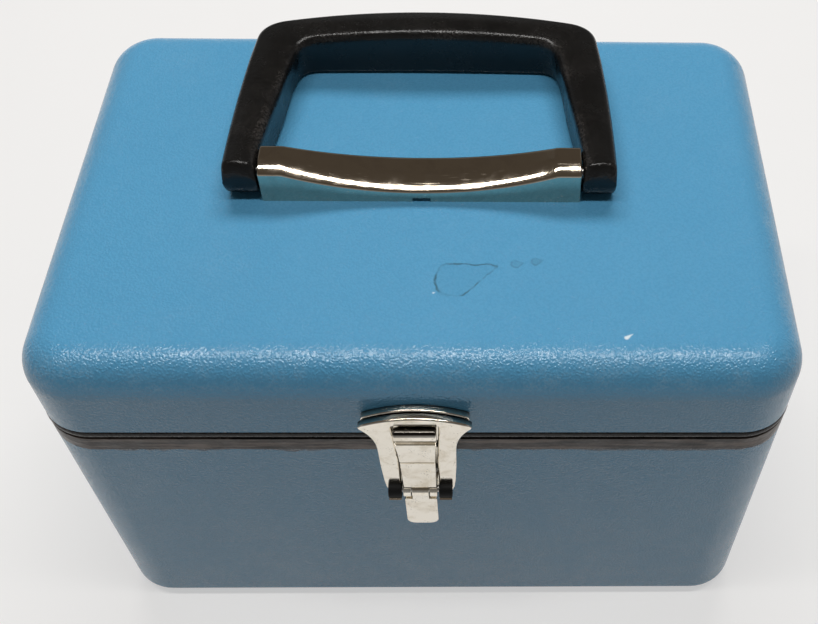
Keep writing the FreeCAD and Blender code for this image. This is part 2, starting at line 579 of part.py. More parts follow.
# Handle bracket: a strip under the saddle with an ear at each end, screwed through the lid.
reach = "(saddle_half - saddle_wall - bracket_clear)"
br_y = (in_y[0] + " + bracket_clear", in_y[1] + " - bracket_clear")
bracket_parts = [block("bracket_strip", less(reach), reach, br_y[0], br_y[1], "lid_top",
                       "lid_top + bracket_wall")]
stub_bores = []
screws = []
nuts = []
stubs = []
plate_holes = []
grip_bores = []
for side, sx in SIDES:
    left = side == "left"
    ear = (less(reach), less(reach) + " + ear_wall") if left else (reach + " - ear_wall", reach)
    bracket_parts.append(block("bracket_ear_" + side, ear[0], ear[1], br_y[0], br_y[1], "lid_top",
                               "lid_top + ear_height"))
    tip = "(arm_inner + stub_reach)"
    inner_face = "(saddle_half - saddle_wall - bracket_clear - ear_wall)"
    stub_run = tip + " - " + inner_face
    stub_at = (less(tip) if left else inner_face, "pivot_back", PIVOT_Z)
    head_at = (less(inner_face) if left else inner_face + " - stub_head", "pivot_back", PIVOT_Z)
    shaft = rod("stub_shaft_" + side, "X", stub_at, "stub_radius", stub_run)
    head = rod("stub_head_" + side, "X", head_at, "stub_head_radius", "stub_head")
    stubs.append(fuse("stub_" + side, shaft, head))
    stub_bores.append(rod("ear_bore_" + side, "X", stub_at, "stub_radius + rivet_clear", stub_run))
    bore_at = (less(tip) + " - part_clear" if left else "arm_inner - wall", "pivot_back", PIVOT_Z)
    grip_bores.append(rod("grip_bore_" + side, "X", bore_at, "stub_radius + pin_clear",
                          "stub_reach + wall + part_clear"))
    x = sx + "screw_half"
    tail = "(lid_top - wall - plate_wall - nut_height - screw_tail)"
    shank = rod("screw_shank_" + side, "Z", (x, "pivot_back", tail), "screw_radius",
                "lid_top + bracket_wall - " + tail)
    head = rod("screw_head_" + side, "Z", (x, "pivot_back", "lid_top + bracket_wall"), "screw_head_radius",
               "screw_head")
    screws.append(fuse("screw_" + side, shank, head))
    plate_holes.append(rod("plate_hole_" + side, "Z", (x, "pivot_back", tail), "screw_radius + screw_clear",
                           "lid_top + 2 * bracket_wall - " + tail))
    hexagon = doc.addObject("Part::Prism", "nut_hex_" + side)
    hexagon.Polygon = 6
    bind(hexagon, Circumradius="nut_flat / cos(30 deg)", Height="nut_height")
    place(hexagon, (x, "pivot_back", ROOF_IN + " - plate_wall - nut_height"))
    thread = rod("nut_thread_" + side, "Z", (x, "pivot_back", tail), "screw_radius + nut_clear", "wall * 4")
    nuts.append(cut("nut_" + side, hexagon, thread))
strip_holes = fuse("plate_holes", *plate_holes)
nodes["handle_bracket"] = cut("handle_bracket", fuse("bracket_solid", *bracket_parts),
                              fuse("ear_bores", *stub_bores), strip_holes)
nodes["handle_stubs"] = group("handle_stubs", *stubs)
nodes["handle_screws"] = group("handle_screws", *screws)
nodes["handle_nuts"] = group("handle_nuts", *nuts)
plate = block("plate_block", "0 - plate_half", "plate_half", "pivot_back - plate_deep / 2",
              "pivot_back + plate_deep / 2", ROOF_IN + " - plate_wall", ROOF_IN)
nodes["handle_plate"] = cut("handle_plate", plate, strip_holes)

# Handle grip: a moulded loop, bowed along its bar and crowned across, that lies back on the lid.
grip_low = "(lid_top + pivot_up - arm_radius)"
grip_front = "(pivot_back - arm_radius)"
outer_right = [("bar_half", "bar_outer"), ("arm_half", "arm_straight"), ("arm_half", grip_front)]
outer = prism("grip_outer", "XY_Plane", both_sides(outer_right), "2 * grip_height", ("0", "0", grip_low))
doc.recompute()
far = num("bar_outer") - 0.1
outer = rounded("grip_outer_round", outer, "grip_corner",
                lambda e: upright(e) and e.BoundBox.YMin > far)
bow_radius = "(bar_half * bar_half / (2 * bar_bow) + bar_bow / 2)"
bow = rod("grip_bow", "Z", ("0", "bar_outer - " + bow_radius, "lid_top - wall"), bow_radius,
          "3 * grip_height")
inner_right = [("bar_inner_half", "bar_inner"), ("arm_inner", "pivot_back + arm_radius"),
               ("arm_inner", "2 * " + grip_front)]
inner = prism("grip_inner", "XY_Plane", both_sides(inner_right), "4 * grip_height",
              ("0", "0", "lid_top - wall"))
doc.recompute()
near = num("bar_inner") - 0.1
inner = rounded("grip_inner_round", inner, "grip_inner_corner",
                lambda e: upright(e) and e.BoundBox.YMin > near)
crown_radius = "(arm_inner * arm_inner / (2 * grip_swell) + grip_swell / 2)"
crown = rod("grip_crown", "Y", ("0", "0 - box_depth", "lid_top + grip_height - " + crown_radius),
            crown_radius, "2 * box_depth")
side_block = block("grip_side_block", "0 - arm_half", "arm_half", "pivot_back", "2 * bar_outer", grip_low,
                   "lid_top + 2 * grip_height")
side_end = rod("grip_side_end", "X", ("0 - arm_half", "pivot_back", PIVOT_Z), "arm_radius", "2 * arm_half")
loop = cut("grip_plan", common("grip_bowed", outer, bow), inner)
loop = common("grip_loop", loop, crown, fuse("grip_side", side_block, side_end))
crown_size = num(crown_radius)
crown_level = num("lid_top + grip_height") - crown_size


def on_crown(edge):
    """True for an edge that lies on the grip's crowned face."""
    spots = edge.discretize(5)
    return all(abs(math.hypot(p.x, p.z - crown_level) - crown_size) < 1e-3 for p in spots)


loop = rounded("grip_round_loop", loop, "grip_round", on_crown)
nodes["handle_grip"] = cut("handle_grip", loop, fuse("grip_bores", *grip_bores))

# Check every object, then write one file per node.
doc.recompute()
faults = [o.Name for o in doc.Objects if "Invalid" in o.State or "Error" in o.State]
for name, obj in nodes.items():
    obj.Label = name
    if obj.Shape.isNull() or not obj.Shape.isValid() or not obj.Shape.Solids:
        faults.append(name)
if faults:
    raise RuntimeError("faulty objects: " + ", ".join(faults))
os.makedirs("parts", exist_ok=True)
for name, obj in nodes.items():
    obj.Shape.exportStep(os.path.join("parts", name + ".step"))
    print(name, len(obj.Shape.Solids), round(obj.Shape.Volume, 1))
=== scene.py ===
import json

import bmesh
import bpy
import numpy as np
from bpy.props import FloatProperty, FloatVectorProperty, PointerProperty
from mathutils import Matrix, Vector


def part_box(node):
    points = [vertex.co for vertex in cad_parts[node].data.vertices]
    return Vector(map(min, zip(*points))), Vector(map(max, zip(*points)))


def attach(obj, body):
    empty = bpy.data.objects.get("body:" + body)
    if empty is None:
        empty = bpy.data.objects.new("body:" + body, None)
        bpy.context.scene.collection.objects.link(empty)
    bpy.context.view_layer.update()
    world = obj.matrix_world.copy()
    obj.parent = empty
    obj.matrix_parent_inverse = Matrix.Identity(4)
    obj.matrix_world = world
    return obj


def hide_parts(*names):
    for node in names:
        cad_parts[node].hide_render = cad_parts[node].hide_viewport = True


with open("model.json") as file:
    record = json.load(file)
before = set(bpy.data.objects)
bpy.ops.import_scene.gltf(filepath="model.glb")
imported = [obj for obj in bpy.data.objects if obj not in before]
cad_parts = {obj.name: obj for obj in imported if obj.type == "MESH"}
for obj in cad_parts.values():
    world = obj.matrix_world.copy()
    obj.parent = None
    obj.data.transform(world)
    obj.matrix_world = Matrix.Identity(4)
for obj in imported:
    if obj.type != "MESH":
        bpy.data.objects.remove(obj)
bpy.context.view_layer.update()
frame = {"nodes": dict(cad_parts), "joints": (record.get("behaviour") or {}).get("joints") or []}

bl_info = {
    "name": "Lunch box",
    "version": (1, 0, 0),
    "blender": (4, 5, 0),
    "location": "View3D > Sidebar > Lunch box",
    "description": "Dresses a hard plastic lunch box with a folding handle and a press latch",
    "category": "Object",
}

MM = 0.001
join = np.concatenate
LID_LOW, LID_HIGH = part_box("lid_shell")
BASE_LOW, BASE_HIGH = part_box("base_shell")
SADDLE_LOW, SADDLE_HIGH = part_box("handle_saddle")
GRIP_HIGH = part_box("handle_grip")[1]
JOINTS = {joint["name"]: joint["pos_m"] for joint in frame["joints"]}
SEAM = JOINTS["lid_hinge"][2]
FRONT = LID_LOW.y
# The latch pin in millimetres: its place, then its distance out from the front wall and up from the seam
PIN_Y, PIN_Z = (value / MM for value in JOINTS["latch_press"][1:])
PIN_OUT, PIN_UP = FRONT / MM - PIN_Y, (JOINTS["latch_press"][2] - SEAM) / MM
KNUCKLE = 2.4  # radius of the metal round the pin, in millimetres
FINE_CORNER = 17  # points round an upright corner
MERGE = 1e-6  # metres within which points are joined


def size(label, text, millimetres):
    """A length property, given in millimetres."""
    return FloatProperty(name=label, description=text, default=millimetres * MM, unit="LENGTH",
                         precision=5)


def colour(label, text, value):
    """A colour property."""
    return FloatVectorProperty(name=label, description=text, default=value, subtype="COLOR", min=0.0,
                               max=1.0)


class LunchBoxSizes(bpy.types.PropertyGroup):
    """Sizes of the dressed pieces that the solids leave open."""
    corner: size("Corner radius", "Radius of the upright corners", 16.0)
    lid_round: size("Lid rounding", "Radius of the lid's top edge", 12.0)
    foot_round: size("Base rounding", "Radius of the base's bottom edge", 4.0)
    wall: size("Wall", "Thickness of the moulded walls", 2.4)
    plate_round: size("Plate rounding", "Rounding of the cast latch plates", 0.7)
    saddle_round: size("Saddle rounding", "Rounding of the plated cover's long edges", 1.1)
    saddle_slope: size("Saddle slope", "Radius of the broad fall to the plated cover's front", 16.0)
    grip_inner: size("Grip inner rounding", "Rounding of the handle's inner top edge", 3.4)
    grip_outer: size("Grip outer rounding", "Rounding of the handle's outer top edge", 2.2)
    grain: size("Grain pitch", "Width of one pebble of the moulded grain", 0.72)


class LunchBoxColours(bpy.types.PropertyGroup):
    """Colours of the finishes."""
    shell: colour("Shell", "Moulded plastic of the lid and base", (0.085, 0.300, 0.500))
    shell_dark: colour("Shell, deep", "The plastic in the valleys of its grain", (0.050, 0.205, 0.370))
    bead: colour("Lid rim", "Black bead at the lid's edge", (0.007, 0.007, 0.0075))
    band: colour("Base rim", "Worn brown-black band at the base's edge", (0.030, 0.024, 0.021))
    grip: colour("Grip", "Black moulded handle", (0.0042, 0.0041, 0.0040))
    grip_worn: colour("Grip, worn", "Rubbed edges of the handle", (0.060, 0.054, 0.050))
    nickel: colour("Nickel", "Plated latch", (0.960, 0.905, 0.800))
    tarnish: colour("Tarnish", "Specks and stains on the nickel", (0.520, 0.420, 0.260))
    chrome: colour("Chrome", "Mirror plate of the saddle", (0.660, 0.580, 0.470))
    steel: colour("Steel", "Zinc plated hinges and fastenings", (0.560, 0.560, 0.550))
    # Near-black bushes, partly a real part and partly painted shade for the dark openings either side of the
    # claw
    bush: colour("Bush", "Black latch bushes", (0.006, 0.006, 0.006))
    rubber: colour("Feet", "Dark feet", (0.020, 0.020, 0.021))
    floor: colour("Floor", "Pale table", (0.830, 0.825, 0.820))


def sizes():
    """The sizes that the panel shows."""
    return bpy.context.scene.lunch_box_sizes


def colours():
    """The colours that the panel shows."""
    return bpy.context.scene.lunch_box_colours


# Meshes

def cells(rows, cols, wrap_rows):
    """Corner numbers of a grid's cells: cell (r, c) joins r, r + 1 and c, c + 1. Columns always wrap."""
    r = np.arange(rows if wrap_rows else rows - 1)[:, None]
    c = np.arange(cols)[None, :]
    after_r, after_c = (r + 1) % rows, (c + 1) % cols
    corners = [r * cols + c, r * cols + after_c, after_r * cols + after_c, after_r * cols + c]
    return np.stack(np.broadcast_arrays(*corners), axis=-1).reshape(-1, 4)


def placed(name, data):
    """A new object in the scene."""
    item = bpy.data.objects.new(name, data)
    bpy.context.scene.collection.objects.link(item)
    return item


def skin(name, grids, body, finish, nodes=(), marks=(), sharp=35.0, wrap_rows=False):
    """One piece from grids of rings in millimetres: quads between rings, and a flat face on each end ring
    unless the rows wrap. Marks give the first grids' edge attribute, by point or by ring."""
    points, faces, start = [], [], 0
    for grid in grids:
        rows, cols = grid.shape[:2]
        faces += (cells(rows, cols, wrap_rows) + start).tolist()
        if not wrap_rows:
            faces.append(list(range(start, start + cols)))
            faces.append(list(range(start + (rows - 1) * cols, start + rows * cols)))
        points.append(grid.reshape(-1, 3))
        start += rows * cols
    mesh = bpy.data.meshes.new(name)
    mesh.from_pydata(join(points) * MM, [], faces)
    edges = [np.zeros(grid.shape[:2], np.float32) for grid in grids]
    for edge, mark in zip(edges, marks):
        edge[:] = mark if np.ndim(mark) == 2 else np.reshape(mark, (-1, 1))
    layer = mesh.attributes.new("edge", "FLOAT", "POINT")
    layer.data.foreach_set("value", join([edge.ravel() for edge in edges]))
    work = bmesh.new()
    work.from_mesh(mesh)
    bmesh.ops.remove_doubles(work, verts=work.verts, dist=MERGE)
    bmesh.ops.recalc_face_normals(work, faces=work.faces)
    work.to_mesh(mesh)
    work.free()
    mesh.shade_smooth()
    mesh.set_sharp_from_angle(angle=np.radians(sharp))
    piece = placed(name, mesh)
    even = piece.modifiers.new("even_normals", "WEIGHTED_NORMAL")
    even.keep_sharp = True
    mesh.materials.append(finish)
    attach(piece, body)
    if nodes:
        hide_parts(*nodes)
    return piece


def dress(finish, *names):
    """Give CAD nodes a finish, without touching their shapes."""
    for name in names:
        mesh = frame["nodes"][name].data
        mesh.materials.clear()
        mesh.materials.append(finish)


def curve(a, p, b, t):
    """A bent line from a to b, pulled towards p: (1-t)^2 a + 2t(1-t) p + t^2 b."""
    return (1 - t) ** 2 * a + 2 * t * (1 - t) * p + t ** 2 * b


def bent_box(half, low, high, radius, count=7):
    """A box's outline with bent corners: each is a curve from a radius before it to a radius after it."""
    p = np.array([(-half, low), (half, low), (half, high), (-half, high)], float)
    before, after = np.roll(p, 1, axis=0) - p, np.roll(p, -1, axis=0) - p
    a = p + before / np.linalg.norm(before, axis=1, keepdims=True) * radius
    b = p + after / np.linalg.norm(after, axis=1, keepdims=True) * radius
    t = np.linspace(0, 1, count)[None, :, None]
    return curve(a[:, None], p[:, None], b[:, None], t).reshape(-1, 2)


def arched(x, half, crown, end):
    """The right half of an arched top, z = crown - (crown - end)(x / half)^2."""
    return np.stack([x, crown - (crown - end) * (x / half) ** 2], axis=1)


def half_chord(z, centre, radius, least):
    """Half the width of a round at each height, sqrt(max(radius^2 - (z - centre)^2, least))."""
    return np.sqrt(np.clip(radius ** 2 - (z - centre) ** 2, least, None))


def ramp(value, start, length):
    """How far a value is along a stretch: (value - start) / length, kept from 0 to 1."""
    return np.clip((value - start) / length, 0, 1)


def outwards(outline):
    """Unit normals of a closed outline, from the chord between each point's neighbours."""
    run = np.roll(outline, -1, axis=0) - np.roll(outline, 1, axis=0)
    run = run / np.maximum(np.linalg.norm(run, axis=1, keepdims=True), 1e-9)
    x, z = outline[:, 0], outline[:, 1]
    turn = np.sign(np.sum(x * np.roll(z, -1) - np.roll(x, -1) * z))
    return np.stack([run[:, 1], -run[:, 0]], axis=1) * turn


def plate(outline, back, face, rounding, steps=6):
    """A cast plate on the front wall: the outline at the back depth, straight to the face less the
    rounding, then a quarter round, inset r(1 - cos a) and depth face - r(1 - sin a)."""
    a = np.linspace(0, np.pi / 2, steps)
    inset = join([[0.0], rounding * (1 - np.cos(a))])
    depth = join([[0.0], face - rounding * (1 - np.sin(a))])[:, None]
    depth = depth + np.zeros(len(outline))
    depth[0] = back
    flat = outline[None] - inset[:, None, None] * outwards(outline)[None]
    return np.stack([flat[..., 0], FRONT / MM - depth, flat[..., 1] + SEAM / MM], axis=-1)


def upright_bar(z, half, back, face, rounding, steps=4, shift=0.0):
    """A bar that runs down the front: at each height a box of a half width between two depths. Its corners
    are quarter rounds, half - r(1 - cos a) across and face - r(1 - sin a) out."""
    a = np.linspace(0, np.pi / 2, steps)
    z, half, back, face = (np.broadcast_to(v, np.shape(z)).astype(float)[:, None]
                           for v in (z, half, back, face))
    r = np.minimum(rounding, np.minimum(half, (face - back) / 2) * 0.98)
    across = join([half - r + r * np.cos(a), -half + r - r * np.cos(a[::-1]),
                   -half + r - r * np.cos(a), half - r + r * np.cos(a[::-1])], axis=1)
    out = join([face - r + r * np.sin(a), face - r + r * np.sin(a[::-1]),
                back + r - r * np.sin(a), back + r - r * np.sin(a[::-1])], axis=1)
    return np.stack([across + shift, FRONT / MM - out, np.broadcast_to(z, out.shape) + SEAM / MM], axis=-1)


def turned(profile, centre, axis, count=36):
    """A turned piece: each (radius, along) of the profile makes a ring, radius times cos a and sin a, about
    the axis through the centre."""
    profile = np.array(profile, float)
    angle = np.linspace(0, 2 * np.pi, count, endpoint=False)
    ring = profile[:, 0, None] * np.stack([np.cos(angle), np.sin(angle)])[:, None]
    along = np.broadcast_to(profile[:, 1, None], ring.shape[1:])
    order = {"X": (along, ring[0], ring[1]), "Y": (ring[1], along, ring[0]),
             "Z": (ring[0], ring[1], along)}
    return np.stack(order[axis], axis=-1) + np.array(centre, float)


def box_ring(profile, count=13):
    """A profile carried round the box: an (inset, height) pair becomes a rounded rectangle of the plan's
    half sizes less the inset, with corners of the corner radius less the inset."""
    profile = np.array(profile, float)
    inset, height = profile[:, 0, None], profile[:, 1, None]
    angle = np.linspace(0, np.pi / 2, count)
    angle = join([angle + quarter * np.pi / 2 for quarter in range(4)])[None]
    radius = np.maximum(sizes().corner / MM - inset, 0.4)
    sign_x = np.repeat([1, -1, -1, 1], count)[None]
    sign_y = np.repeat([1, 1, -1, -1], count)[None]
    x = sign_x * (LID_HIGH.x / MM - inset - radius) + radius * np.cos(angle)
    y = sign_y * (LID_HIGH.y / MM - inset - radius) + radius * np.sin(angle)
    return np.stack([x, y, np.broadcast_to(height, x.shape)], axis=-1)


def arc_about(centre, radius, start, end, count=9):
    """Points of an arc, centre + radius (cos a, sin a), from one angle to another in degrees."""
    a = np.radians(np.linspace(start, end, count))
    return np.stack([centre[0] + radius * np.cos(a), centre[1] + radius * np.sin(a)], axis=1)


# Finishes

# Numbers of the mix node's colour sockets
MIX_FACTOR, MIX_FIRST, MIX_SECOND, MIX_RESULT = 0, 6, 7, 2


def add(tree, kind, inputs=None, **settings):
    """A node with its settings, whose inputs are given as values or as other nodes' outputs."""
    node = tree.nodes.new(kind)
    for key, value in settings.items():
        setattr(node, key, value)
    for key, value in (inputs or {}).items():
        if isinstance(value, bpy.types.NodeSocket):
            tree.links.new(value, node.inputs[key])
        else:
            node.inputs[key].default_value = value
    return node


def maths(tree, operation, *values, clamp=False):
    """The output of a maths node."""
    node = add(tree, "ShaderNodeMath", dict(enumerate(values)), operation=operation, use_clamp=clamp)
    return node.outputs[0]


def vector(tree, operation, *values):
    """The outputs of a vector maths node."""
    return add(tree, "ShaderNodeVectorMath", dict(enumerate(values)), operation=operation).outputs


def scaled(tree, value, factor):
    """A vector times a factor."""
    return add(tree, "ShaderNodeVectorMath", {0: value, "Scale": factor}, operation="SCALE").outputs[0]


def span(tree, value, low, high, to_low=0.0, to_high=1.0):
    """A value carried from one range to another, smoothly and within limits."""
    limits = {"Value": value, "From Min": low, "From Max": high, "To Min": to_low, "To Max": to_high}
    return add(tree, "ShaderNodeMapRange", limits, interpolation_type="SMOOTHSTEP").outputs[0]


def blend(tree, factor, first, second):
    """Two colours mixed by a factor."""
    first, second = (value if isinstance(value, bpy.types.NodeSocket) else tuple(value)[:3] + (1.0,)
                     for value in (first, second))
    inputs = {MIX_FACTOR: factor, MIX_FIRST: first, MIX_SECOND: second}
    return add(tree, "ShaderNodeMix", inputs, data_type="RGBA").outputs[MIX_RESULT]


def tint(tree, paint, mask, strength, tone):
    """A paint with a colour laid over it where a mask is, at a strength."""
    return blend(tree, maths(tree, "MULTIPLY", mask, strength), paint, tone)


def noise(tree, where, scale, detail=3.0, roughness=0.5, distortion=0.0, output="Fac"):
    """Noise at a point."""
    inputs = {"Vector": where, "Scale": scale, "Detail": detail, "Roughness": roughness,
              "Distortion": distortion}
    return add(tree, "ShaderNodeTexNoise", inputs).outputs[output]


def effect(inputs, outputs):
    """Turns a function that wires a tree into one that gives a node group of the same name, built once, with
    named sockets. Inputs are vectors unless their value is a float; the function returns the outputs."""
    def wrap(wire):
        def group():
            name = wire.__name__
            if name in bpy.data.node_groups:
                return bpy.data.node_groups[name]
            tree = bpy.data.node_groups.new(name, "ShaderNodeTree")
            for label, value in inputs.items():
                kind = "NodeSocketFloat" if isinstance(value, float) else "NodeSocketVector"
                socket = tree.interface.new_socket(name=label, in_out="INPUT", socket_type=kind)
                if value is not None:
                    socket.default_value = value
            for label in outputs:
                tree.interface.new_socket(name=label, in_out="OUTPUT", socket_type="NodeSocketFloat")
            found = wire(tree, tree.nodes.new("NodeGroupInput").outputs)
            ends = tree.nodes.new("NodeGroupOutput").inputs
            for label, value in zip(outputs, found):
                tree.links.new(value, ends[label])
            return tree
        return group
    return wrap


@effect({"Vector": None, "Scale": 900.0}, ["Height", "Valley"])
def pebble_grain(tree, given):
    """Moulded pebble grain: rounded cells of uneven size with creases between them."""
    warp = scaled(tree, noise(tree, given["Vector"], 420.0, 2.0, output="Color"), 0.0011)
    where = vector(tree, "ADD", given["Vector"], warp)[0]
    inputs = {"Vector": where, "Scale": given["Scale"], "Smoothness": 0.6}
    pebbles = add(tree, "ShaderNodeTexVoronoi", inputs, feature="SMOOTH_F1").outputs["Distance"]
    fine = noise(tree, where, given["Scale"])
    dome = span(tree, pebbles, 0.05, 0.75, 1.0, 0.0)
    return maths(tree, "MULTIPLY_ADD", fine, 0.8, dome), span(tree, pebbles, 0.35, 0.75)


@effect({"Vector": None, "Scale": 30.0, "Share": 0.4}, ["Mask"])
def rubbed_marks(tree, given):
    """Scuffs: broad noise that picks patches, broken up by fine noise."""
    broad = noise(tree, given["Vector"], given["Scale"], 4.0, 0.65)
    fine = noise(tree, given["Vector"], 1400.0, 2.0)
    low = maths(tree, "SUBTRACT", 0.85, given["Share"])
    patch = maths(tree, "MULTIPLY", maths(tree, "SUBTRACT", broad, low), 7.0, clamp=True)
    return [maths(tree, "MULTIPLY", patch, span(tree, fine, 0.35, 0.65))]


@effect({"Vector": None, "Scale": 1.0}, ["Cloud", "Pits", "Scratches"])
def plate_specks(tree, given):
    """Tarnish on plated metal: cloudy stains, small pits and hair scratches."""
    where = scaled(tree, given["Vector"], given["Scale"])
    cloud = span(tree, noise(tree, where, 170.0, 5.0, 0.6, 0.4), 0.42, 0.72)
    dots = add(tree, "ShaderNodeTexVoronoi", {"Vector": where, "Scale": 1500.0}).outputs["Distance"]
    picked = span(tree, noise(tree, where, 260.0, 2.0), 0.5, 0.66)
    pits = maths(tree, "MULTIPLY", span(tree, dots, 0.16, 0.3, 1.0, 0.0), picked)
    inputs = {"Vector": where, "Rotation": (0.2, 0.5, 0.3), "Scale": (1.0, 30.0, 30.0)}
    along = add(tree, "ShaderNodeMapping", inputs).outputs[0]
    return cloud, pits, span(tree, noise(tree, along, 70.0, 2.0, 0.4), 0.66, 0.74)


@effect({"Vector": None, "Centre": (0, 0, 0), "Tip": (0, 0, 0), "Radius": 0.008, "Edge": 0.0008,
         "Waver": 0.004, "Scale": 110.0}, ["Ring", "Fill"])
def wavering_drop(tree, given):
    """A stain or fleck: a wavering drop that tapers from a centre to a tip, and its edge's broken ring."""
    def less(first, second):
        return vector(tree, "SUBTRACT", first, second)[0]

    def dot(first, second):
        return vector(tree, "DOT_PRODUCT", first, second)["Value"]

    wave = less(noise(tree, given["Vector"], given["Scale"], output="Color"), (0.5, 0.5, 0.5))
    away = less(given["Vector"], given["Centre"])
    away = vector(tree, "ADD", away, scaled(tree, wave, given["Waver"]))[0]
    axis = less(given["Tip"], given["Centre"])
    length = maths(tree, "MAXIMUM", dot(axis, axis), 1e-9)
    share = maths(tree, "DIVIDE", dot(away, axis), length, clamp=True)
    far = vector(tree, "LENGTH", less(away, scaled(tree, axis, share)))["Value"]
    reach = maths(tree, "MULTIPLY", given["Radius"], maths(tree, "MULTIPLY_ADD", share, -0.95, 1.0))
    past = maths(tree, "DIVIDE", maths(tree, "SUBTRACT", far, reach), given["Edge"])
    broken = span(tree, noise(tree, given["Vector"], 210.0), 0.36, 0.60, 0.15, 1.0)
    near = span(tree, maths(tree, "ABSOLUTE", past), 0.0, 1.0, 1.0, 0.0)
    return maths(tree, "MULTIPLY", near, broken), span(tree, past, -1.0, 1.0, 1.0, 0.0)


def use(tree, group, outputs, **inputs):
    """A group placed in a tree: the named outputs."""
    node = add(tree, "ShaderNodeGroup", inputs, node_tree=group)
    return [node.outputs[label] for label in outputs]


def finish(name, colour_of, rough_of, height_of=None, depth=0.0001, **plain):
    """A material with one Principled shader, from functions that give its colour, roughness and height."""
    if name in bpy.data.materials:
        return bpy.data.materials[name]
    material = bpy.data.materials.new(name)
    material.use_nodes = True
    tree = material.node_tree
    shader = tree.nodes["Principled BSDF"]
    where = add(tree, "ShaderNodeTexCoord").outputs["Object"]
    tree.links.new(colour_of(tree, where), shader.inputs["Base Color"])
    tree.links.new(rough_of(tree, where), shader.inputs["Roughness"])
    if height_of:
        inputs = {"Height": height_of(tree, where), "Strength": 1.0, "Distance": depth}
        bump = add(tree, "ShaderNodeBump", inputs)
        tree.links.new(bump.outputs[0], shader.inputs["Normal"])
    for key, value in plain.items():
        shader.inputs[key.replace("_", " ")].default_value = value
    return material


def edge_of(tree):
    """The piece's own mark of its edges and creases: worn edges on the plastics, painted shade on the plated
    metal.
    """
    return add(tree, "ShaderNodeAttribute", attribute_name="edge").outputs["Fac"]


# Stains on the lid's top: centre, tip, radius, waver, strength of the ring and strength of the fill
STAINS = (((0.0108, -0.0402), (0.0226, -0.0352), 0.0062, 0.0040, 0.85, 0.05),
          ((0.0285, -0.0341), (0.0300, -0.0338), 0.0015, 0.0030, 0.30, 0.14),
          ((0.0340, -0.0337), (0.0362, -0.0334), 0.0015, 0.0030, 0.40, 0.22))
# Pale flecks on the lid's top: centre, tip, radius and strength
FLECKS = (((0.0586, -0.0609), (0.0604, -0.0597), 0.0006, 0.85),
          ((0.0048, -0.0452), (0.0052, -0.0450), 0.0003, 0.60))
STAIN_TONE, FLECK_TONE = (0.035, 0.095, 0.125), (0.72, 0.80, 0.84)
SCUFF_TONE, RUBBED_TONE = (0.45, 0.55, 0.62), (0.50, 0.58, 0.62)
# Painted shade: a near-black laid on the plated pieces' marked rings, in creases and behind edges
PAINTED_SHADE_TONE = (0.020, 0.018, 0.015)


def spotted(tree, where, paint):
    """The lid's paint with its stains and flecks."""
    level = (LID_HIGH.z,)
    for centre, tip, radius, waver, ring_share, fill_share in STAINS:
        ring, fill = use(tree, wavering_drop(), ["Ring", "Fill"], Vector=where, Centre=centre + level,
                         Tip=tip + level, Radius=radius, Edge=0.0006, Waver=waver)
        paint = tint(tree, paint, fill, fill_share, STAIN_TONE)
        paint = tint(tree, paint, ring, ring_share, STAIN_TONE)
    for centre, tip, radius, share in FLECKS:
        fill, = use(tree, wavering_drop(), ["Fill"], Vector=where, Centre=centre + level, Tip=tip + level,
                    Radius=radius, Edge=0.0003, Waver=0.0004, Scale=420.0)
        paint = tint(tree, paint, fill, share, FLECK_TONE)
    return paint


def moulded(name, colour_of, grain, depth, cloud, rough, shine):
    """A plastic with pebble grain and cloudy roughness."""
    def rough_of(tree, where):
        return span(tree, noise(tree, where, cloud, 4.0, 0.6), 0.3, 0.7, *rough)

    def height_of(tree, where):
        return use(tree, pebble_grain(), ["Height"], Vector=where, Scale=grain)[0]

    return finish(name, colour_of, rough_of, height_of, depth, Specular_IOR_Level=shine)


def shell_plastic(lid):
    """Blue moulded plastic; the lid adds its stains and flecks, and the base a dirty top edge."""
    c = colours()
    grain = 1.0 / sizes().grain

    def colour_of(tree, where):
        valley, = use(tree, pebble_grain(), ["Valley"], Vector=where, Scale=grain)
        paint = tint(tree, c.shell, valley, 0.22, c.shell_dark)
        cloud = noise(tree, where, 14.0, 4.0, 0.6)
        paint = blend(tree, span(tree, cloud, 0.40, 0.75, 0.0, 0.12), paint, c.shell_dark)
        scuff, = use(tree, rubbed_marks(), ["Mask"], Vector=where, Scale=26.0, Share=0.30)
        paint = tint(tree, paint, scuff, 0.04, SCUFF_TONE)
        rub, = use(tree, rubbed_marks(), ["Mask"], Vector=where, Scale=95.0, Share=0.40)
        paint = tint(tree, paint, maths(tree, "MULTIPLY", rub, edge_of(tree)), 0.12, RUBBED_TONE)
        if lid:
            return spotted(tree, where, paint)
        z = add(tree, "ShaderNodeSeparateXYZ", {"Vector": where}).outputs["Z"]
        ragged = maths(tree, "MULTIPLY_ADD", noise(tree, where, 130.0, 4.0), 0.0042, z)
        stained = span(tree, ragged, BASE_HIGH.z + 0.0011, BASE_HIGH.z + 0.0021)
        return tint(tree, paint, stained, 0.85, c.band)

    name, depth = ("lid_plastic", 0.00009) if lid else ("base_plastic", 0.00012)
    return moulded(name, colour_of, grain, depth, cloud=60.0, rough=(0.17, 0.25), shine=0.6)


# Dark plastics: colour, rubbed colour, grain, its depth, rubbed share, roughness, shine and streaks
BLACKS = {"grip_plastic": ("grip", "grip_worn", 1500.0, 0.00004, 0.40, (0.20, 0.30), 0.40, 0.0),
          "bead_plastic": ("bead", (0.07, 0.066, 0.062), 900.0, 0.00006, 0.40, (0.18, 0.34), 0.22, 0.25),
          "band_plastic": ("band", (0.190, 0.155, 0.135), 700.0, 0.00006, 0.55, (0.34, 0.52), 0.45, 0.85),
          # the bushes' near-black with little shine is partly painted shade for the openings either side of
          # the claw
          "bush_plastic": ("bush", (0.03, 0.03, 0.03), 1800.0, 0.00001, 0.3, (0.45, 0.60), 0.15, 0.0),
          "foot_rubber": ("rubber", (0.08, 0.08, 0.08), 1200.0, 0.00004, 0.5, (0.6, 0.8), 0.5, 0.0)}
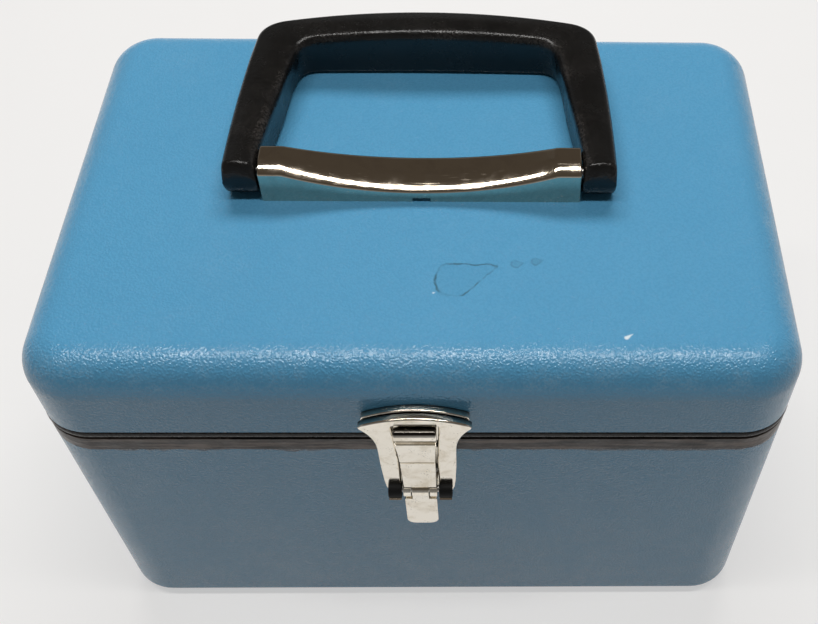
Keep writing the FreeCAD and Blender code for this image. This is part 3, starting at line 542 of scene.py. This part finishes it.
# Plated metals: colour, stain, roughness, strength of the clouds, strength of the pits, and their depth
PLATES = {"latch_nickel": ("nickel", "tarnish", (0.10, 0.22), 0.45, 0.7, 0.00003),
          "saddle_chrome": ("chrome", (0.50, 0.42, 0.34), (0.06, 0.14), 0.45, 0.0, 0.000003),
          "zinc_steel": ("steel", (0.40, 0.37, 0.31), (0.28, 0.45), 0.5, 0.5, 0.00003)}


def tone_of(value):
    """A colour, or the panel's colour of that name."""
    return getattr(colours(), value) if isinstance(value, str) else value


def black_plastic(name):
    """Dark moulded plastic with a fine grain, rubbed edges and level streaks."""
    tone, worn, grain, depth, share, rough, shine, streaks = BLACKS[name]
    tone, worn = tone_of(tone), tone_of(worn)

    def colour_of(tree, where):
        cloud = noise(tree, where, 45.0, 4.0, 0.6)
        paint = blend(tree, span(tree, cloud, 0.35, 0.75), tone, [v * 1.5 + 0.001 for v in tone])
        rub, = use(tree, rubbed_marks(), ["Mask"], Vector=where, Scale=60.0, Share=share)
        paint = tint(tree, paint, maths(tree, "MULTIPLY_ADD", edge_of(tree), 0.40, 0.10), rub, worn)
        level = add(tree, "ShaderNodeMapping", {"Vector": where, "Scale": (1.0, 1.0, 14.0)}).outputs[0]
        for pitch, low, high, target in ((38.0, 0.46, 0.58, worn), (55.0, 0.52, 0.58, (0.006, 0.006, 0.006))):
            line = span(tree, noise(tree, level, pitch, 5.0, 0.65), low, high, 0.0, streaks)
            paint = blend(tree, line, paint, target)
        return paint

    return moulded(name, colour_of, grain, depth, cloud=140.0, rough=rough, shine=shine)


def plated(name):
    """Plated metal with cloudy tarnish, pits, hair scratches and painted shade on its marked edges and
    creases.
    """
    tone, stain, rough, cloud_share, pit_share, depth = PLATES[name]
    tone, stain = tone_of(tone), tone_of(stain)

    def colour_of(tree, where):
        cloud, pits = use(tree, plate_specks(), ["Cloud", "Pits"], Vector=where)
        paint = tint(tree, tone, cloud, cloud_share, stain)
        paint = tint(tree, paint, pits, pit_share, [v * 0.35 for v in stain])
        # painted shade: near-black where the piece marks its creases and hidden edges
        return tint(tree, paint, edge_of(tree), 0.95, PAINTED_SHADE_TONE)

    def rough_of(tree, where):
        cloud, lines = use(tree, plate_specks(), ["Cloud", "Scratches"], Vector=where)
        base = maths(tree, "MULTIPLY_ADD", cloud, rough[1] - rough[0], rough[0])
        return maths(tree, "MULTIPLY_ADD", lines, 0.10, base)

    def height_of(tree, where):
        pits, lines = use(tree, plate_specks(), ["Pits", "Scratches"], Vector=where)
        deep = maths(tree, "ADD", pits, maths(tree, "MULTIPLY", lines, 0.1))
        return maths(tree, "MULTIPLY", deep, -1.0)

    return finish(name, colour_of, rough_of, height_of, depth, Metallic=1.0)


# Pieces

class LUNCHBOX_OT_base(bpy.types.Operator):
    """Base shell with a rounded bottom edge, and its feet"""
    bl_idname = "lunchbox.base"
    bl_label = "Base shell and feet"

    def execute(self, context):
        s = sizes()
        wall, low, high, r = s.wall / MM, BASE_LOW.z / MM, BASE_HIGH.z / MM, s.foot_round / MM
        floor, hollow = low + 2.6, 3
        # Up the inside from the hollow's rounded foot, over the edge and down to the outer rounding
        bottom = arc_about((r, low + r), r, 180, 270)
        profile = join([arc_about((wall + hollow, floor + hollow), hollow, 270, 180),
                        [[wall, high], [0, high]], bottom])
        edge = np.zeros(len(profile))
        edge[-len(bottom):] = 1.0
        grid = box_ring(profile)
        skin("base_skin", [grid], "base", shell_plastic(False), ["base_shell"], [edge])
        # A foot's profile: up from the sole, in to the stem through the floor and out to the head inside
        foot_high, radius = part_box("feet")[1], 8.0
        foot = [[0.4, 0.3], [2.0, 0.0], [6.4, 0.0], [7.5, 0.35], [radius, 1.3], [radius, 2.5], [2.45, 2.5],
                [2.45, 5.1], [4.0, 5.1], [3.9, 5.8], [3.2, 6.3], [0.4, 6.3]]
        x, y = foot_high.x / MM - radius, foot_high.y / MM - radius
        grids = [turned(foot, (sx * x, sy * y, 0.0), "Z", 40) for sx in (-1, 1) for sy in (-1, 1)]
        skin("feet_turned", grids, "base", black_plastic("foot_rubber"), ["feet"])
        return {"FINISHED"}


class LUNCHBOX_OT_lid(bpy.types.Operator):
    """Lid shell with a broadly rounded top edge"""
    bl_idname = "lunchbox.lid"
    bl_label = "Lid shell"

    def execute(self, context):
        s = sizes()
        wall, low, high, r = s.wall / MM, LID_LOW.z / MM, LID_HIGH.z / MM, s.lid_round / MM
        # Down the inside from its rounding, out at the edge and up to the outer rounding about that centre
        profile = join([arc_about((r, high - r), r - wall, 90, 180, 13), [[wall, low], [0, low]],
                        arc_about((r, high - r), r, 180, 90, 21)])
        edge = np.zeros(len(profile))
        edge[-16:-6] = 1.0  # the middle of the outer rounding
        grid = box_ring(profile, FINE_CORNER)
        skin("lid_skin", [grid], "lid", shell_plastic(True), ["lid_shell"], [edge])
        return {"FINISHED"}


class LUNCHBOX_OT_rims(bpy.types.Operator):
    """Half-round bead of the lid and worn band of the base"""
    bl_idname = "lunchbox.rims"
    bl_label = "Rims"

    def execute(self, context):
        low, high = (v.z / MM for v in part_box("lid_rim"))
        edge_z = LID_LOW.z / MM
        middle, half = (low + edge_z) / 2, (edge_z - low) / 2
        # A half circle, pressed flatter and standing proud of the wall, and a tongue that goes up inside it
        centre, flatten, proud = half * 0.75, 0.75, 0.15
        bulge = arc_about((centre, middle), half, 265, 95, 15)
        bulge[:, 0] = np.maximum(centre + (bulge[:, 0] - centre) * flatten - proud, -proud)
        tongue = [[2.4, edge_z], [2.4, high], [3.4, high], [3.4, low]]
        worn = join([np.sin(np.linspace(0, np.pi, len(bulge))), np.zeros(len(tongue))])
        grid = box_ring(join([bulge, tongue]), FINE_CORNER)
        skin("lid_bead", [grid], "lid", black_plastic("bead_plastic"), ["lid_rim"], [worn],
             wrap_rows=True)
        dress(black_plastic("band_plastic"), "base_rim")
        return {"FINISHED"}


class LUNCHBOX_OT_hinges(bpy.types.Operator):
    """Hinge leaves, pins and domed rivets on the rear wall"""
    bl_idname = "lunchbox.hinges"
    bl_label = "Hinges"

    def execute(self, context):
        steel = plated("zinc_steel")
        for side in ("left", "right"):
            dress(steel, "hinge_leaf_base_" + side, "hinge_leaf_lid_" + side, "hinge_pin_" + side)
        radius, shank, head, inset = 2.3, 1.5, 0.9, 26.3
        rise = np.linspace(0.15, 1.45, 8)
        for part in ("base", "lid"):
            node = "hinge_rivets_" + part
            low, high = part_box(node)
            left, right = low.x / MM, high.x / MM
            z = (low.z + high.z) / 2 / MM
            inner = low.y / MM
            neck = high.y / MM - inner - head
            # A flat head inside, a shank and a domed head, radius cos a wide and head sin a high
            dome = join([[[0.2, 0.0], [radius, 0.0], [radius, head], [shank, head], [shank, neck],
                          [radius, neck]],
                         np.stack([radius * np.cos(rise), neck + head * np.sin(rise)], axis=1)])
            grids = [turned(dome, (x, inner, z), "Y", 28)
                     for x in (left + radius, left + inset, right - inset, right - radius)]
            skin(node + "_domed", grids, part, steel, [node])
        return {"FINISHED"}


class LUNCHBOX_OT_shield(bpy.types.Operator):
    """Cast latch shield with its channel, bushes and the lugs under them"""
    bl_idname = "lunchbox.shield"
    bl_label = "Latch shield"

    def execute(self, context):
        low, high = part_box("latch_shield")
        half, crown, drop = high.x / MM, (high.z - SEAM) / MM, (low.z - SEAM) / MM
        face, window, slot_half = (FRONT - low.y) / MM, 14.4, 5.6
        # The right half: along the arch, round the shoulder, down the cove and the leg and up the slot
        arch = arched(np.linspace(0, half - 1.0, 16), half, crown, end=14.0)
        shoulder = [[half, 13.4], [half - 0.1, 12.6]]
        cove = curve(shoulder[-1], [11.6, 8.4], [11.4, 1.5], np.linspace(0, 1, 12)[1:, None])
        leg = [[11.2, -8.0], [10.8, -16.0], [10.4, -20.0], [9.6, -22.8], [8.6, drop]]
        slot = [[slot_half, drop], [slot_half, -12.0], [slot_half, -4.0], [6.1, 5.0], [6.6, 13.6],
                [6.3, 14.2], [5.7, window], [3.0, window]]
        right = join([arch[1:], shoulder, cove, leg, slot])
        outline = join([[[0.0, crown]], right, [[0.0, window]], right[::-1] * [-1, 1]])
        # Below the seam the plate lies on the base's wall, and above it stands clear of the keeper
        on_wall, off_keeper = 0.05, 2.6
        back = np.where(outline[:, 1] < -1.0, on_wall, off_keeper)
        shield = plate(outline, back, face, sizes().plate_round / MM)
        channel = bent_box(half=10.2, low=drop + 0.3, high=-1.2, radius=0.8)
        floor = plate(channel, on_wall, face=2.0, rounding=0.2)
        # A lug is a stretch of a ring below the pin, radius times cos a out and sin a up from it
        a = np.radians(np.linspace(-118, -28, 13))[:, None]
        ends = np.array([5.7, 5.9, 9.3, 9.5, 9.5, 9.3, 5.9, 5.7])[None]
        radius = np.array([3.3, 3.45, 3.45, 3.3, 3.0, 2.86, 2.86, 3.0])[None]
        y, z = PIN_Y - radius * np.cos(a), PIN_Z + radius * np.sin(a)
        lugs = [np.stack(np.broadcast_arrays(side * ends, y, z), axis=-1) for side in (-1, 1)]
        mark = np.zeros(shield.shape[:2])
        mark[0] = outline[:, 1] > 12.0  # painted shade behind the crown
        skin("latch_shield_cast", [shield, floor] + lugs, "base", plated("latch_nickel"),
             ["latch_shield"], [mark])
        # The bushes are near-black and dull: partly painted shade for the openings either side of the claw
        bush = [[1.1, 0.0], [2.45, 0.0], [2.7, 0.1], [2.8, 0.35], [2.8, 3.65], [2.7, 3.9], [2.45, 4.0],
                [1.1, 4.0]]
        grids = [turned(bush, (start, PIN_Y, PIN_Z), "X", 40) for start in (5.6, -9.6)]
        skin("latch_bushes_turned", grids, "base", black_plastic("bush_plastic"),
             ["latch_bushes"])
        dress(plated("zinc_steel"), "latch_pin", "latch_rivets")
        return {"FINISHED"}


class LUNCHBOX_OT_keeper(bpy.types.Operator):
    """Arched keeper on the lid, behind the shield's crown"""
    bl_idname = "lunchbox.keeper"
    bl_label = "Latch keeper"

    def execute(self, context):
        low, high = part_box("latch_keeper")
        half, crown = high.x / MM, (high.z - SEAM) / MM
        # The right half is the arch and a waisted side; the lip that the claw holds stands on the plate
        arch = arched(np.linspace(0, half - 0.6, 18), half, crown, end=14.6)
        side = [[half, 14.0], [half, 12.8], [10.2, 8.2], [10.0, 7.6], [10.0, 3.0], [9.6, 2.6]]
        right = join([arch, side])
        keeper = plate(join([right, right[:0:-1] * [-1, 1]]), back=0.02, face=2.2, rounding=0.45)
        bar = bent_box(half=5, low=7.6, high=9.8, radius=0.5)
        lip = plate(bar, back=0.05, face=(FRONT - low.y) / MM, rounding=0.4)
        # painted shade along the keeper's back edge against the wall
        mark = np.arange(len(keeper)) == 0
        skin("latch_keeper_cast", [keeper, lip], "lid", plated("latch_nickel"), ["latch_keeper"],
             [mark])
        dress(plated("zinc_steel"), "keeper_rivets")
        return {"FINISHED"}


class LUNCHBOX_OT_rocker(bpy.types.Operator):
    """Latch claw with a rolled nose, the tab that is pressed and the leaf spring behind it"""
    bl_idname = "lunchbox.rocker"
    bl_label = "Latch rocker"

    def execute(self, context):
        self.claw()
        self.tab()
        dress(plated("zinc_steel"), "latch_spring")
        return {"FINISHED"}

    def claw(self):
        """A plate with two creases across it, a rolled nose on top and two ears round the pin. Its face
        swells with the square of the height, and nose and ears stand half a chord out from their centres."""
        face_out, back_out = 6.15, 4.6
        nose_out, nose_up, nose_radius = 5.0, 11.2, 2.25
        z = join([[-17.6, -17.2], np.linspace(-16.5, -3.6, 8), [-3.3, -3.05, -2.9, -2.6, -2.2],
                  np.linspace(-1, 7.6, 10), [8.1, 8.5, 8.8], np.linspace(9.0, 13.4, 17)])
        low_crease, high_crease = (z > -3.4) & (z < -2.5), (z > 8.3) & (z < 8.95)
        swell = ramp(z, start=-2.2, length=9.8)
        face = np.where(z > 8.7, nose_out + half_chord(z, nose_up, nose_radius, 0.05),
                        face_out + 0.35 * (z > -2.95) + 0.55 * swell ** 2)
        face = np.select([low_crease, high_crease], [5.3, 5.5], face)
        half = np.interp(z, [-17.6, -4.0, -3.0, 3.0, 8.6, 13.4], [5.05, 5.1, 5.15, 5.45, 6.0, 6.05])
        half = half - 0.45 * ramp(z, start=12.6, length=0.8) ** 2
        back = np.where(z > 7.0, 4.2, back_out)
        claw = upright_bar(z, half, back, np.maximum(face, back + 0.6), rounding=0.35)
        ear_z = PIN_UP - KNUCKLE * np.cos((np.linspace(-1, 1, 21) + 1) * np.pi / 2)
        bow = half_chord(ear_z, PIN_UP, KNUCKLE, 0.02)
        above = ear_z > PIN_UP
        front = np.where(above, np.maximum(PIN_OUT + bow, face_out), PIN_OUT + bow)
        behind = np.where(above, np.minimum(PIN_OUT - bow, back_out), PIN_OUT - bow)
        ears = [upright_bar(ear_z, 1.15, behind, front, rounding=0.2, shift=side * 3.95)
                for side in (-1, 1)]
        # painted shade in the two creases and over the nose's top, which lie in the slot's shadow
        painted_shade_rows = low_crease | high_crease | (z > 12.8)
        skin("latch_claw_rolled", [claw] + ears, "latch", plated("latch_nickel"), ["latch_claw"],
             [painted_shade_rows])

    def tab(self):
        """A blade with a rounded foot, a neck round the pin and the heel above it. The foot narrows by
        corner (1 - sqrt(1 - v^2)), with v the share of the corner that is still above."""
        end, top = (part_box("latch_tab")[0].z - SEAM) / MM, -23.7
        corner, wide, face_out, neck_half = 2.6, 4.9, 6.9, 2.5
        foot = end + corner * (1 - np.cos(np.linspace(0, 1, 9) * np.pi / 2))
        z = join([foot, np.linspace(end + 4, top - 1.5, 8), [top - 0.5, top - 0.12, top]])
        rounded = 1 - np.sqrt(np.clip(1 - (1 - (foot - end) / corner) ** 2, 0, None))
        half = join([wide - corner * rounded, np.full(8, wide), [4.88, 4.75, 4.4]])
        face = np.interp(z, [end, end + 1.0, top], [7.0, 7.15, face_out])
        blade = upright_bar(z, half, face - 1.5, face, rounding=0.4)
        neck_z = join([[top - 0.4], PIN_UP - KNUCKLE * np.cos(np.linspace(0, 1, 14) * np.pi)])
        bow = half_chord(neck_z, PIN_UP, KNUCKLE, 0.02)
        front = np.where(neck_z < PIN_UP, np.maximum(PIN_OUT + bow, face_out), PIN_OUT + bow)
        behind = np.where(neck_z < top, 5.4, PIN_OUT - bow)
        neck = upright_bar(neck_z, neck_half, behind, front, rounding=0.2)
        heel_z = PIN_UP + np.array([0.4, 2.0, 4.6])
        heel = upright_bar(heel_z, neck_half, back=3.1, face=4.3, rounding=0.2)
        skin("latch_tab_pressed", [blade, neck, heel], "latch", plated("latch_nickel"),
             ["latch_tab"])


class LUNCHBOX_OT_saddle(bpy.types.Operator):
    """Plated saddle with a dished top, over the handle's bracket and screws"""
    bl_idname = "lunchbox.saddle"
    bl_label = "Handle saddle"

    def fall(self, edge):
        """The front of a section from upright to level, through the edge's rounding, the broad slope and a
        roll: each step goes its arc times the cosine of its tilt along, and times the sine up."""
        slope, roll, steep, gentle = sizes().saddle_slope / MM, 5.0, 33, 18
        tilt = np.radians(join([np.linspace(90, steep, 7), np.linspace(steep, gentle, 7)[1:],
                                np.linspace(gentle, 0, 7)[1:]]))
        middle = 0.5 * (tilt[1:] + tilt[:-1])
        bend = np.select([middle > np.radians(steep), middle > np.radians(gentle)], [edge, slope], roll)
        arc = bend * -np.diff(tilt)
        return (join([[0.0], np.cumsum(arc * wave(middle))]) for wave in (np.cos, np.sin))

    def execute(self, context):
        r = sizes().saddle_round / MM
        half, base, rise = SADDLE_HIGH.x / MM, LID_HIGH.z / MM, (SADDLE_HIGH.z - LID_HIGH.z) / MM
        front, back = SADDLE_LOW.y / MM, SADDLE_HIGH.y / MM
        depth, bevel, dip, bow, gap = back - front, 0.5, 6.2, 2.6, 0.02
        notch_half, notch_top, flat_end, flare = 2.75, 1.5, 7.0, 0.12
        # Each ring has one x. With s the share of the way to the flat ends, the top's height is
        # dip + (rise - dip) s^2 (1 - flare (1 - s)), and the ends' bevel is a round
        side = join([np.linspace(0, 2.6, 4), [2.72, 2.78, 2.9], np.linspace(4, half - bevel, 46)])
        cap = half - bevel + bevel * np.sin(np.linspace(0.3, np.pi / 2, 5))
        x = join([-cap[::-1], -side[:0:-1], side, cap])
        share = np.clip(np.abs(x) / (half - flat_end), 0, 1)
        top = dip + (rise - dip) * (share ** 2.0 * (1.0 - flare * (1 - share)))
        past = np.abs(x) - half + bevel
        shrink = bevel - np.sqrt(np.clip(bevel ** 2 - past ** 2, 0, None))
        shrink = np.where(np.abs(x) > half - bevel, shrink, 0.0)
        low = np.where(np.abs(x) < notch_half, notch_top, gap)
        # A section goes up the front, along the level top and down the back's quarter round, and the back
        # bows outwards by bow (1 - s^2)
        along, climb = self.fall(r)
        a = np.linspace(0, np.pi / 2, 7)
        level = np.linspace(0.15, 0.85, 7)
        run = join([[0.0, 0.0], along, along[-1] + level * (depth - r - along[-1]),
                    depth - r + r * np.sin(a), [depth]])
        lift = join([[0.0, 0.0], climb - climb[-1], np.zeros(7), -r + r * np.cos(a), [0.0]])
        z = top[:, None] + lift[None]
        z[:, 1] = 0.5 * (z[:, 2] + low)
        z[:, 0], z[:, -1] = low, gap
        z = z - shrink[:, None] * (z > 0.1)
        bowed = bow * (1 - share ** 2)[:, None] * np.clip(run / depth, 0, 1)[None]
        y = front + run[None] + bowed + shrink[:, None] * np.sign(depth / 2 - run[None])
        grid = np.stack([np.broadcast_to(x[:, None], z.shape), y, z + base], axis=-1)
        skin("saddle_plated", [grid], "lid", plated("saddle_chrome"), ["handle_saddle"])
        dress(plated("zinc_steel"), "handle_bracket", "handle_stubs", "handle_screws", "handle_nuts",
              "handle_plate")
        return {"FINISHED"}


class LUNCHBOX_OT_grip(bpy.types.Operator):
    """Moulded handle loop that lies back on the lid"""
    bl_idname = "lunchbox.grip"
    bl_label = "Handle grip"

    def path(self, low, high, start, bend, reach, cut, power):
        """One edge of the loop's right half seen from above: up the arm, x = low - (low - high) u^power with
        u from the bend to the reach, round the corner on a curve pulled towards it, then along the bar."""
        y = join([start + (1 - np.cos(np.linspace(0, np.pi / 2, 15))) * (bend - start),
                  np.linspace(bend, reach - cut, 14)[1:]])
        u = np.clip((y - bend) / (reach - bend), 0, 1)
        arm = np.stack([low - (low - high) * u ** power, y], axis=1)
        corner, away = np.array([high, reach]), np.array([high - cut, reach])
        bow = curve(arm[-1], corner, away, np.linspace(0, 1, 13)[1:, None])
        bar = np.stack([np.linspace(high - cut, 0, 18)[1:], np.full(17, reach)], axis=1)
        return join([arm, bow, bar])

    def section(self, width, tall):
        """A closed section for each ring's width and height: a box with quarter rounds at its inner, outer
        and lower edges and a top crowned by a half wave. Gives the run across, the rise and the mark."""
        count, crown, under, most = 8, 0.4, 1.6, 0.46
        a = np.linspace(0, np.pi / 2, count)[None]
        limit = np.minimum(width * most, tall * most)
        r_in, r_out, r_low = (np.minimum(radius, limit)
                              for radius in (sizes().grip_inner / MM, sizes().grip_outer / MM, under))
        flat = np.linspace(0, 1, 7)[None, 1:-1]
        across = join([r_low - r_low * np.sin(a), r_in - r_in * np.cos(a),
                       r_in + flat * (width - r_in - r_out),
                       width - r_out + r_out * np.sin(a), width - r_low + r_low * np.cos(a)], axis=1)
        up = join([r_low - r_low * np.cos(a), tall - r_in + r_in * np.sin(a),
                   tall + crown * np.sin(np.pi * flat),
                   tall - r_out + r_out * np.cos(a), r_low - r_low * np.sin(a)], axis=1)
        arch = np.sin(np.linspace(0, np.pi, count))
        ridge = join([np.zeros(count), arch, np.zeros(flat.size), 0.3 * arch, np.zeros(count)])
        return across, up, ridge

    def execute(self, context):
        pivot_y, pivot_z = (v / MM for v in JOINTS["handle_swing"][1:])
        base, clear, sweep, lift, fall, tilt = LID_HIGH.z / MM, 0.3, 3.0, 0.9, 2.6, 1.2
        arm_in, bar_in, bar_out, bar_y = 48.5, 41.0, 54.6, 47.6
        arm = pivot_z - base - clear
        reach = 0.76 * arm
        start = pivot_y - reach
        # The two edges seen from above; the bar's outer one sweeps back by sweep (x / bar_out)^2
        outer = self.path(GRIP_HIGH.x / MM, bar_out, start, pivot_y, GRIP_HIGH.y / MM, cut=7.5, power=1.9)
        inner = self.path(arm_in, bar_in, start, pivot_y, bar_y, cut=6.0, power=1.25)
        outer[:, 1] -= sweep * (outer[:, 0] / bar_out) ** 2 * ramp(outer[:, 1], start=40, length=20)
        outer, inner = (join([half, half[-2::-1] * [-1, 1]])[:, None] for half in (outer, inner))
        width = np.linalg.norm(outer - inner, axis=-1)
        # The top falls by fall (x / arm_in)^2; past the pivot by a share b of the reach, the arm ends in a
        # round that stands arm sqrt(1 - b^2) above and below the pivot
        high = GRIP_HIGH.z / MM - base + lift - fall * (outer[..., 0] / arm_in) ** 2
        behind = np.clip((pivot_y - outer[..., 1]) / reach, 0, 1)
        round_off = arm * np.sqrt(np.clip(1 - behind ** 2, 0.001, None))
        ending = outer[..., 1] < pivot_y
        high = np.where(ending, np.minimum(high, pivot_z - base + round_off), high)
        low = np.where(ending, pivot_z - base - round_off, clear)
        tall = high - low
        across, up, ridge = self.section(width, tall)
        # The bar's inner side leans outwards towards its foot
        lean = np.clip(1 - up / tall, 0, 1) * tilt * ramp(outer[..., 1], start=30, length=15)
        point = inner + (outer - inner) * ((across + lean * (1 - across / width)) / width)[..., None]
        grid = join([point, (base + low + up)[..., None]], axis=-1)
        piece = skin("grip_moulded", [grid], "handle", black_plastic("grip_plastic"),
                     ["handle_grip"], [np.repeat(ridge[None], len(grid), axis=0)], sharp=50.0)
        self.bore(piece, pivot_y, pivot_z)
        return {"FINISHED"}

    def bore(self, piece, y, z):
        """Blind holes for the pivot stubs, cut from each arm's inner side."""
        radius, deep = 2.05, 12.0
        hole = [[0.02, 0.0], [radius, 0.0], [radius, deep], [0.02, deep]]
        for side, start in (("left", -55.3), ("right", 43.3)):
            cutter = skin("bore_" + side, [turned(hole, (start, y, z), "X", 32)], "handle",
                          black_plastic("grip_plastic"))
            cutter.modifiers.clear()
            drill = piece.modifiers.new("bore_" + side, "BOOLEAN")
            drill.operation, drill.solver, drill.object = "DIFFERENCE", "EXACT", cutter
        ready = piece.evaluated_get(bpy.context.evaluated_depsgraph_get())
        mesh = bpy.data.meshes.new_from_object(ready)
        piece.modifiers.clear()
        piece.data = mesh
        for side in ("left", "right"):
            bpy.data.objects.remove(bpy.data.objects["bore_" + side])


class LUNCHBOX_OT_stage(bpy.types.Operator):
    """Pale table, soft overhead light and the camera"""
    bl_idname = "lunchbox.stage"
    bl_label = "Stage"

    def execute(self, context):
        self.table()
        self.light()
        self.camera()
        return {"FINISHED"}

    def table(self):
        """A wide sheet at the height that the feet stand on."""
        reach, count = 3, 13
        line = np.linspace(-reach, reach, count)
        x, y = np.meshgrid(line, line)
        mesh = bpy.data.meshes.new("table")
        grid = np.stack([x, y, np.zeros_like(x)], axis=-1).reshape(-1, 3)
        first = np.arange(count * count).reshape(count, count)[:-1, :-1].ravel()
        corners = [first, first + 1, first + count + 1, first + count]
        mesh.from_pydata(grid, [], np.stack(corners, axis=1).tolist())
        table = placed("table", mesh)
        tone, shaded, glow = colours().floor, 0.56, 0.60

        def seen(tree):
            ray = add(tree, "ShaderNodeLightPath").outputs
            shown = maths(tree, "ADD", ray["Is Camera Ray"], ray["Is Glossy Ray"], clamp=True)
            return maths(tree, "ADD", shown, ray["Is Transmission Ray"], clamp=True)

        def colour_of(tree, where):
            top = blend(tree, noise(tree, where, 9.0, 4.0), tone, [v * 0.97 for v in tone])
            return blend(tree, shaded, top, (0.0, 0.0, 0.0))

        def rough_of(tree, where):
            return span(tree, noise(tree, where, 40.0), 0.3, 0.7, 0.5, 0.6)

        top = finish("table_top", colour_of, rough_of)
        shader = top.node_tree.nodes["Principled BSDF"]
        shader.inputs["Emission Color"].default_value = tuple(tone) + (1.0,)
        share = maths(top.node_tree, "MULTIPLY", seen(top.node_tree), glow)
        top.node_tree.links.new(share, shader.inputs["Emission Strength"])
        mesh.materials.append(top)

    def light(self):
        """A broad lamp overhead, a soft one from behind that shows in no mirror, and a dim room."""
        for name, place, shape, energy in (("window", (0.0, 0.62, 1.05), (0.9, 0.3), 9.4),
                                           ("ceiling", (0.0, -0.13, 1.25), (1.1, 0.09), 7.4)):
            lamp = bpy.data.lights.new(name, "AREA")
            lamp.shape, lamp.size, lamp.size_y, lamp.energy = "RECTANGLE", shape[0], shape[1], energy
            lamp.color = (1.0, 0.985, 0.965)
            holder = placed(name, lamp)
            holder.visible_glossy = name == "ceiling"
            aim = (Vector((0.0, 0.0, 0.12)) - Vector(place)).to_track_quat("-Z", "Y")
            holder.matrix_world = Matrix.Translation(place) @ aim.to_matrix().to_4x4()
        world = bpy.data.worlds.new("room")
        bpy.context.scene.world = world
        world.use_nodes = True
        tree = world.node_tree
        where = add(tree, "ShaderNodeTexCoord").outputs["Generated"]
        height = add(tree, "ShaderNodeSeparateXYZ", {"Vector": where}).outputs["Z"]
        walls, ceiling = (0.20, 0.20, 0.20), (0.080, 0.068, 0.056)
        shade = blend(tree, span(tree, height, 0.40, 0.62), walls, ceiling)
        tree.links.new(shade, tree.nodes["Background"].inputs["Color"])
        tree.nodes["Background"].inputs["Strength"].default_value = 1.0

    def camera(self):
        """The camera: its place, its axes from pitch, yaw and roll, and its focal length in pixels."""
        focal, middle_x, pitch, yaw, roll = 1098.7, 521.0, 0.9130, 0.0401, 0.0342
        place, width, sensor = (0.0220, -0.2400, 0.3847), 818, 36.0
        ahead = np.array([np.sin(yaw) * np.cos(pitch), np.cos(yaw) * np.cos(pitch), -np.sin(pitch)])
        right = np.array([np.cos(yaw), -np.sin(yaw), 0.0])
        up = np.cross(right, ahead)
        right, up = (right * np.cos(roll) + up * np.sin(roll),
                     up * np.cos(roll) - right * np.sin(roll))
        camera = bpy.data.cameras.new("camera")
        camera.sensor_width = sensor
        camera.lens = sensor * focal / width
        camera.shift_x = (width / 2 - middle_x) / width
        camera.clip_start, camera.clip_end = 0.01, 20.0
        camera_object = placed("camera", camera)
        axes = np.eye(4)
        axes[:3, 0], axes[:3, 1], axes[:3, 2] = right, up, -ahead
        axes[:3, 3] = place
        camera_object.matrix_world = Matrix(axes.tolist())
        bpy.context.scene.camera = camera_object
        bpy.context.scene.view_settings.view_transform = "Standard"


STEPS = (LUNCHBOX_OT_base, LUNCHBOX_OT_lid, LUNCHBOX_OT_rims, LUNCHBOX_OT_hinges, LUNCHBOX_OT_shield,
         LUNCHBOX_OT_keeper, LUNCHBOX_OT_rocker, LUNCHBOX_OT_saddle, LUNCHBOX_OT_grip, LUNCHBOX_OT_stage)


class LUNCHBOX_PT_panel(bpy.types.Panel):
    """Sizes, colours and steps of the lunch box"""
    bl_idname = "LUNCHBOX_PT_panel"
    bl_label = "Lunch box"
    bl_space_type = "VIEW_3D"
    bl_region_type = "UI"
    bl_category = "Lunch box"

    def draw(self, context):
        for settings in (context.scene.lunch_box_sizes, context.scene.lunch_box_colours):
            column = self.layout.column()
            for key in settings.__annotations__:
                column.prop(settings, key)
        for step in STEPS:
            self.layout.operator(step.bl_idname)


CLASSES = (LunchBoxSizes, LunchBoxColours) + STEPS + (LUNCHBOX_PT_panel,)


def register():
    for kind in CLASSES:
        bpy.utils.register_class(kind)
    bpy.types.Scene.lunch_box_sizes = PointerProperty(type=LunchBoxSizes)
    bpy.types.Scene.lunch_box_colours = PointerProperty(type=LunchBoxColours)


def unregister():
    del bpy.types.Scene.lunch_box_sizes
    del bpy.types.Scene.lunch_box_colours
    for kind in reversed(CLASSES):
        bpy.utils.unregister_class(kind)


def main():
    """Builds every piece in order."""
    register()
    bpy.ops.lunchbox.base()
    bpy.ops.lunchbox.lid()
    bpy.ops.lunchbox.rims()
    bpy.ops.lunchbox.hinges()
    bpy.ops.lunchbox.shield()
    bpy.ops.lunchbox.keeper()
    bpy.ops.lunchbox.rocker()
    bpy.ops.lunchbox.saddle()
    bpy.ops.lunchbox.grip()
    bpy.ops.lunchbox.stage()


if __name__ == "__main__":
    main()
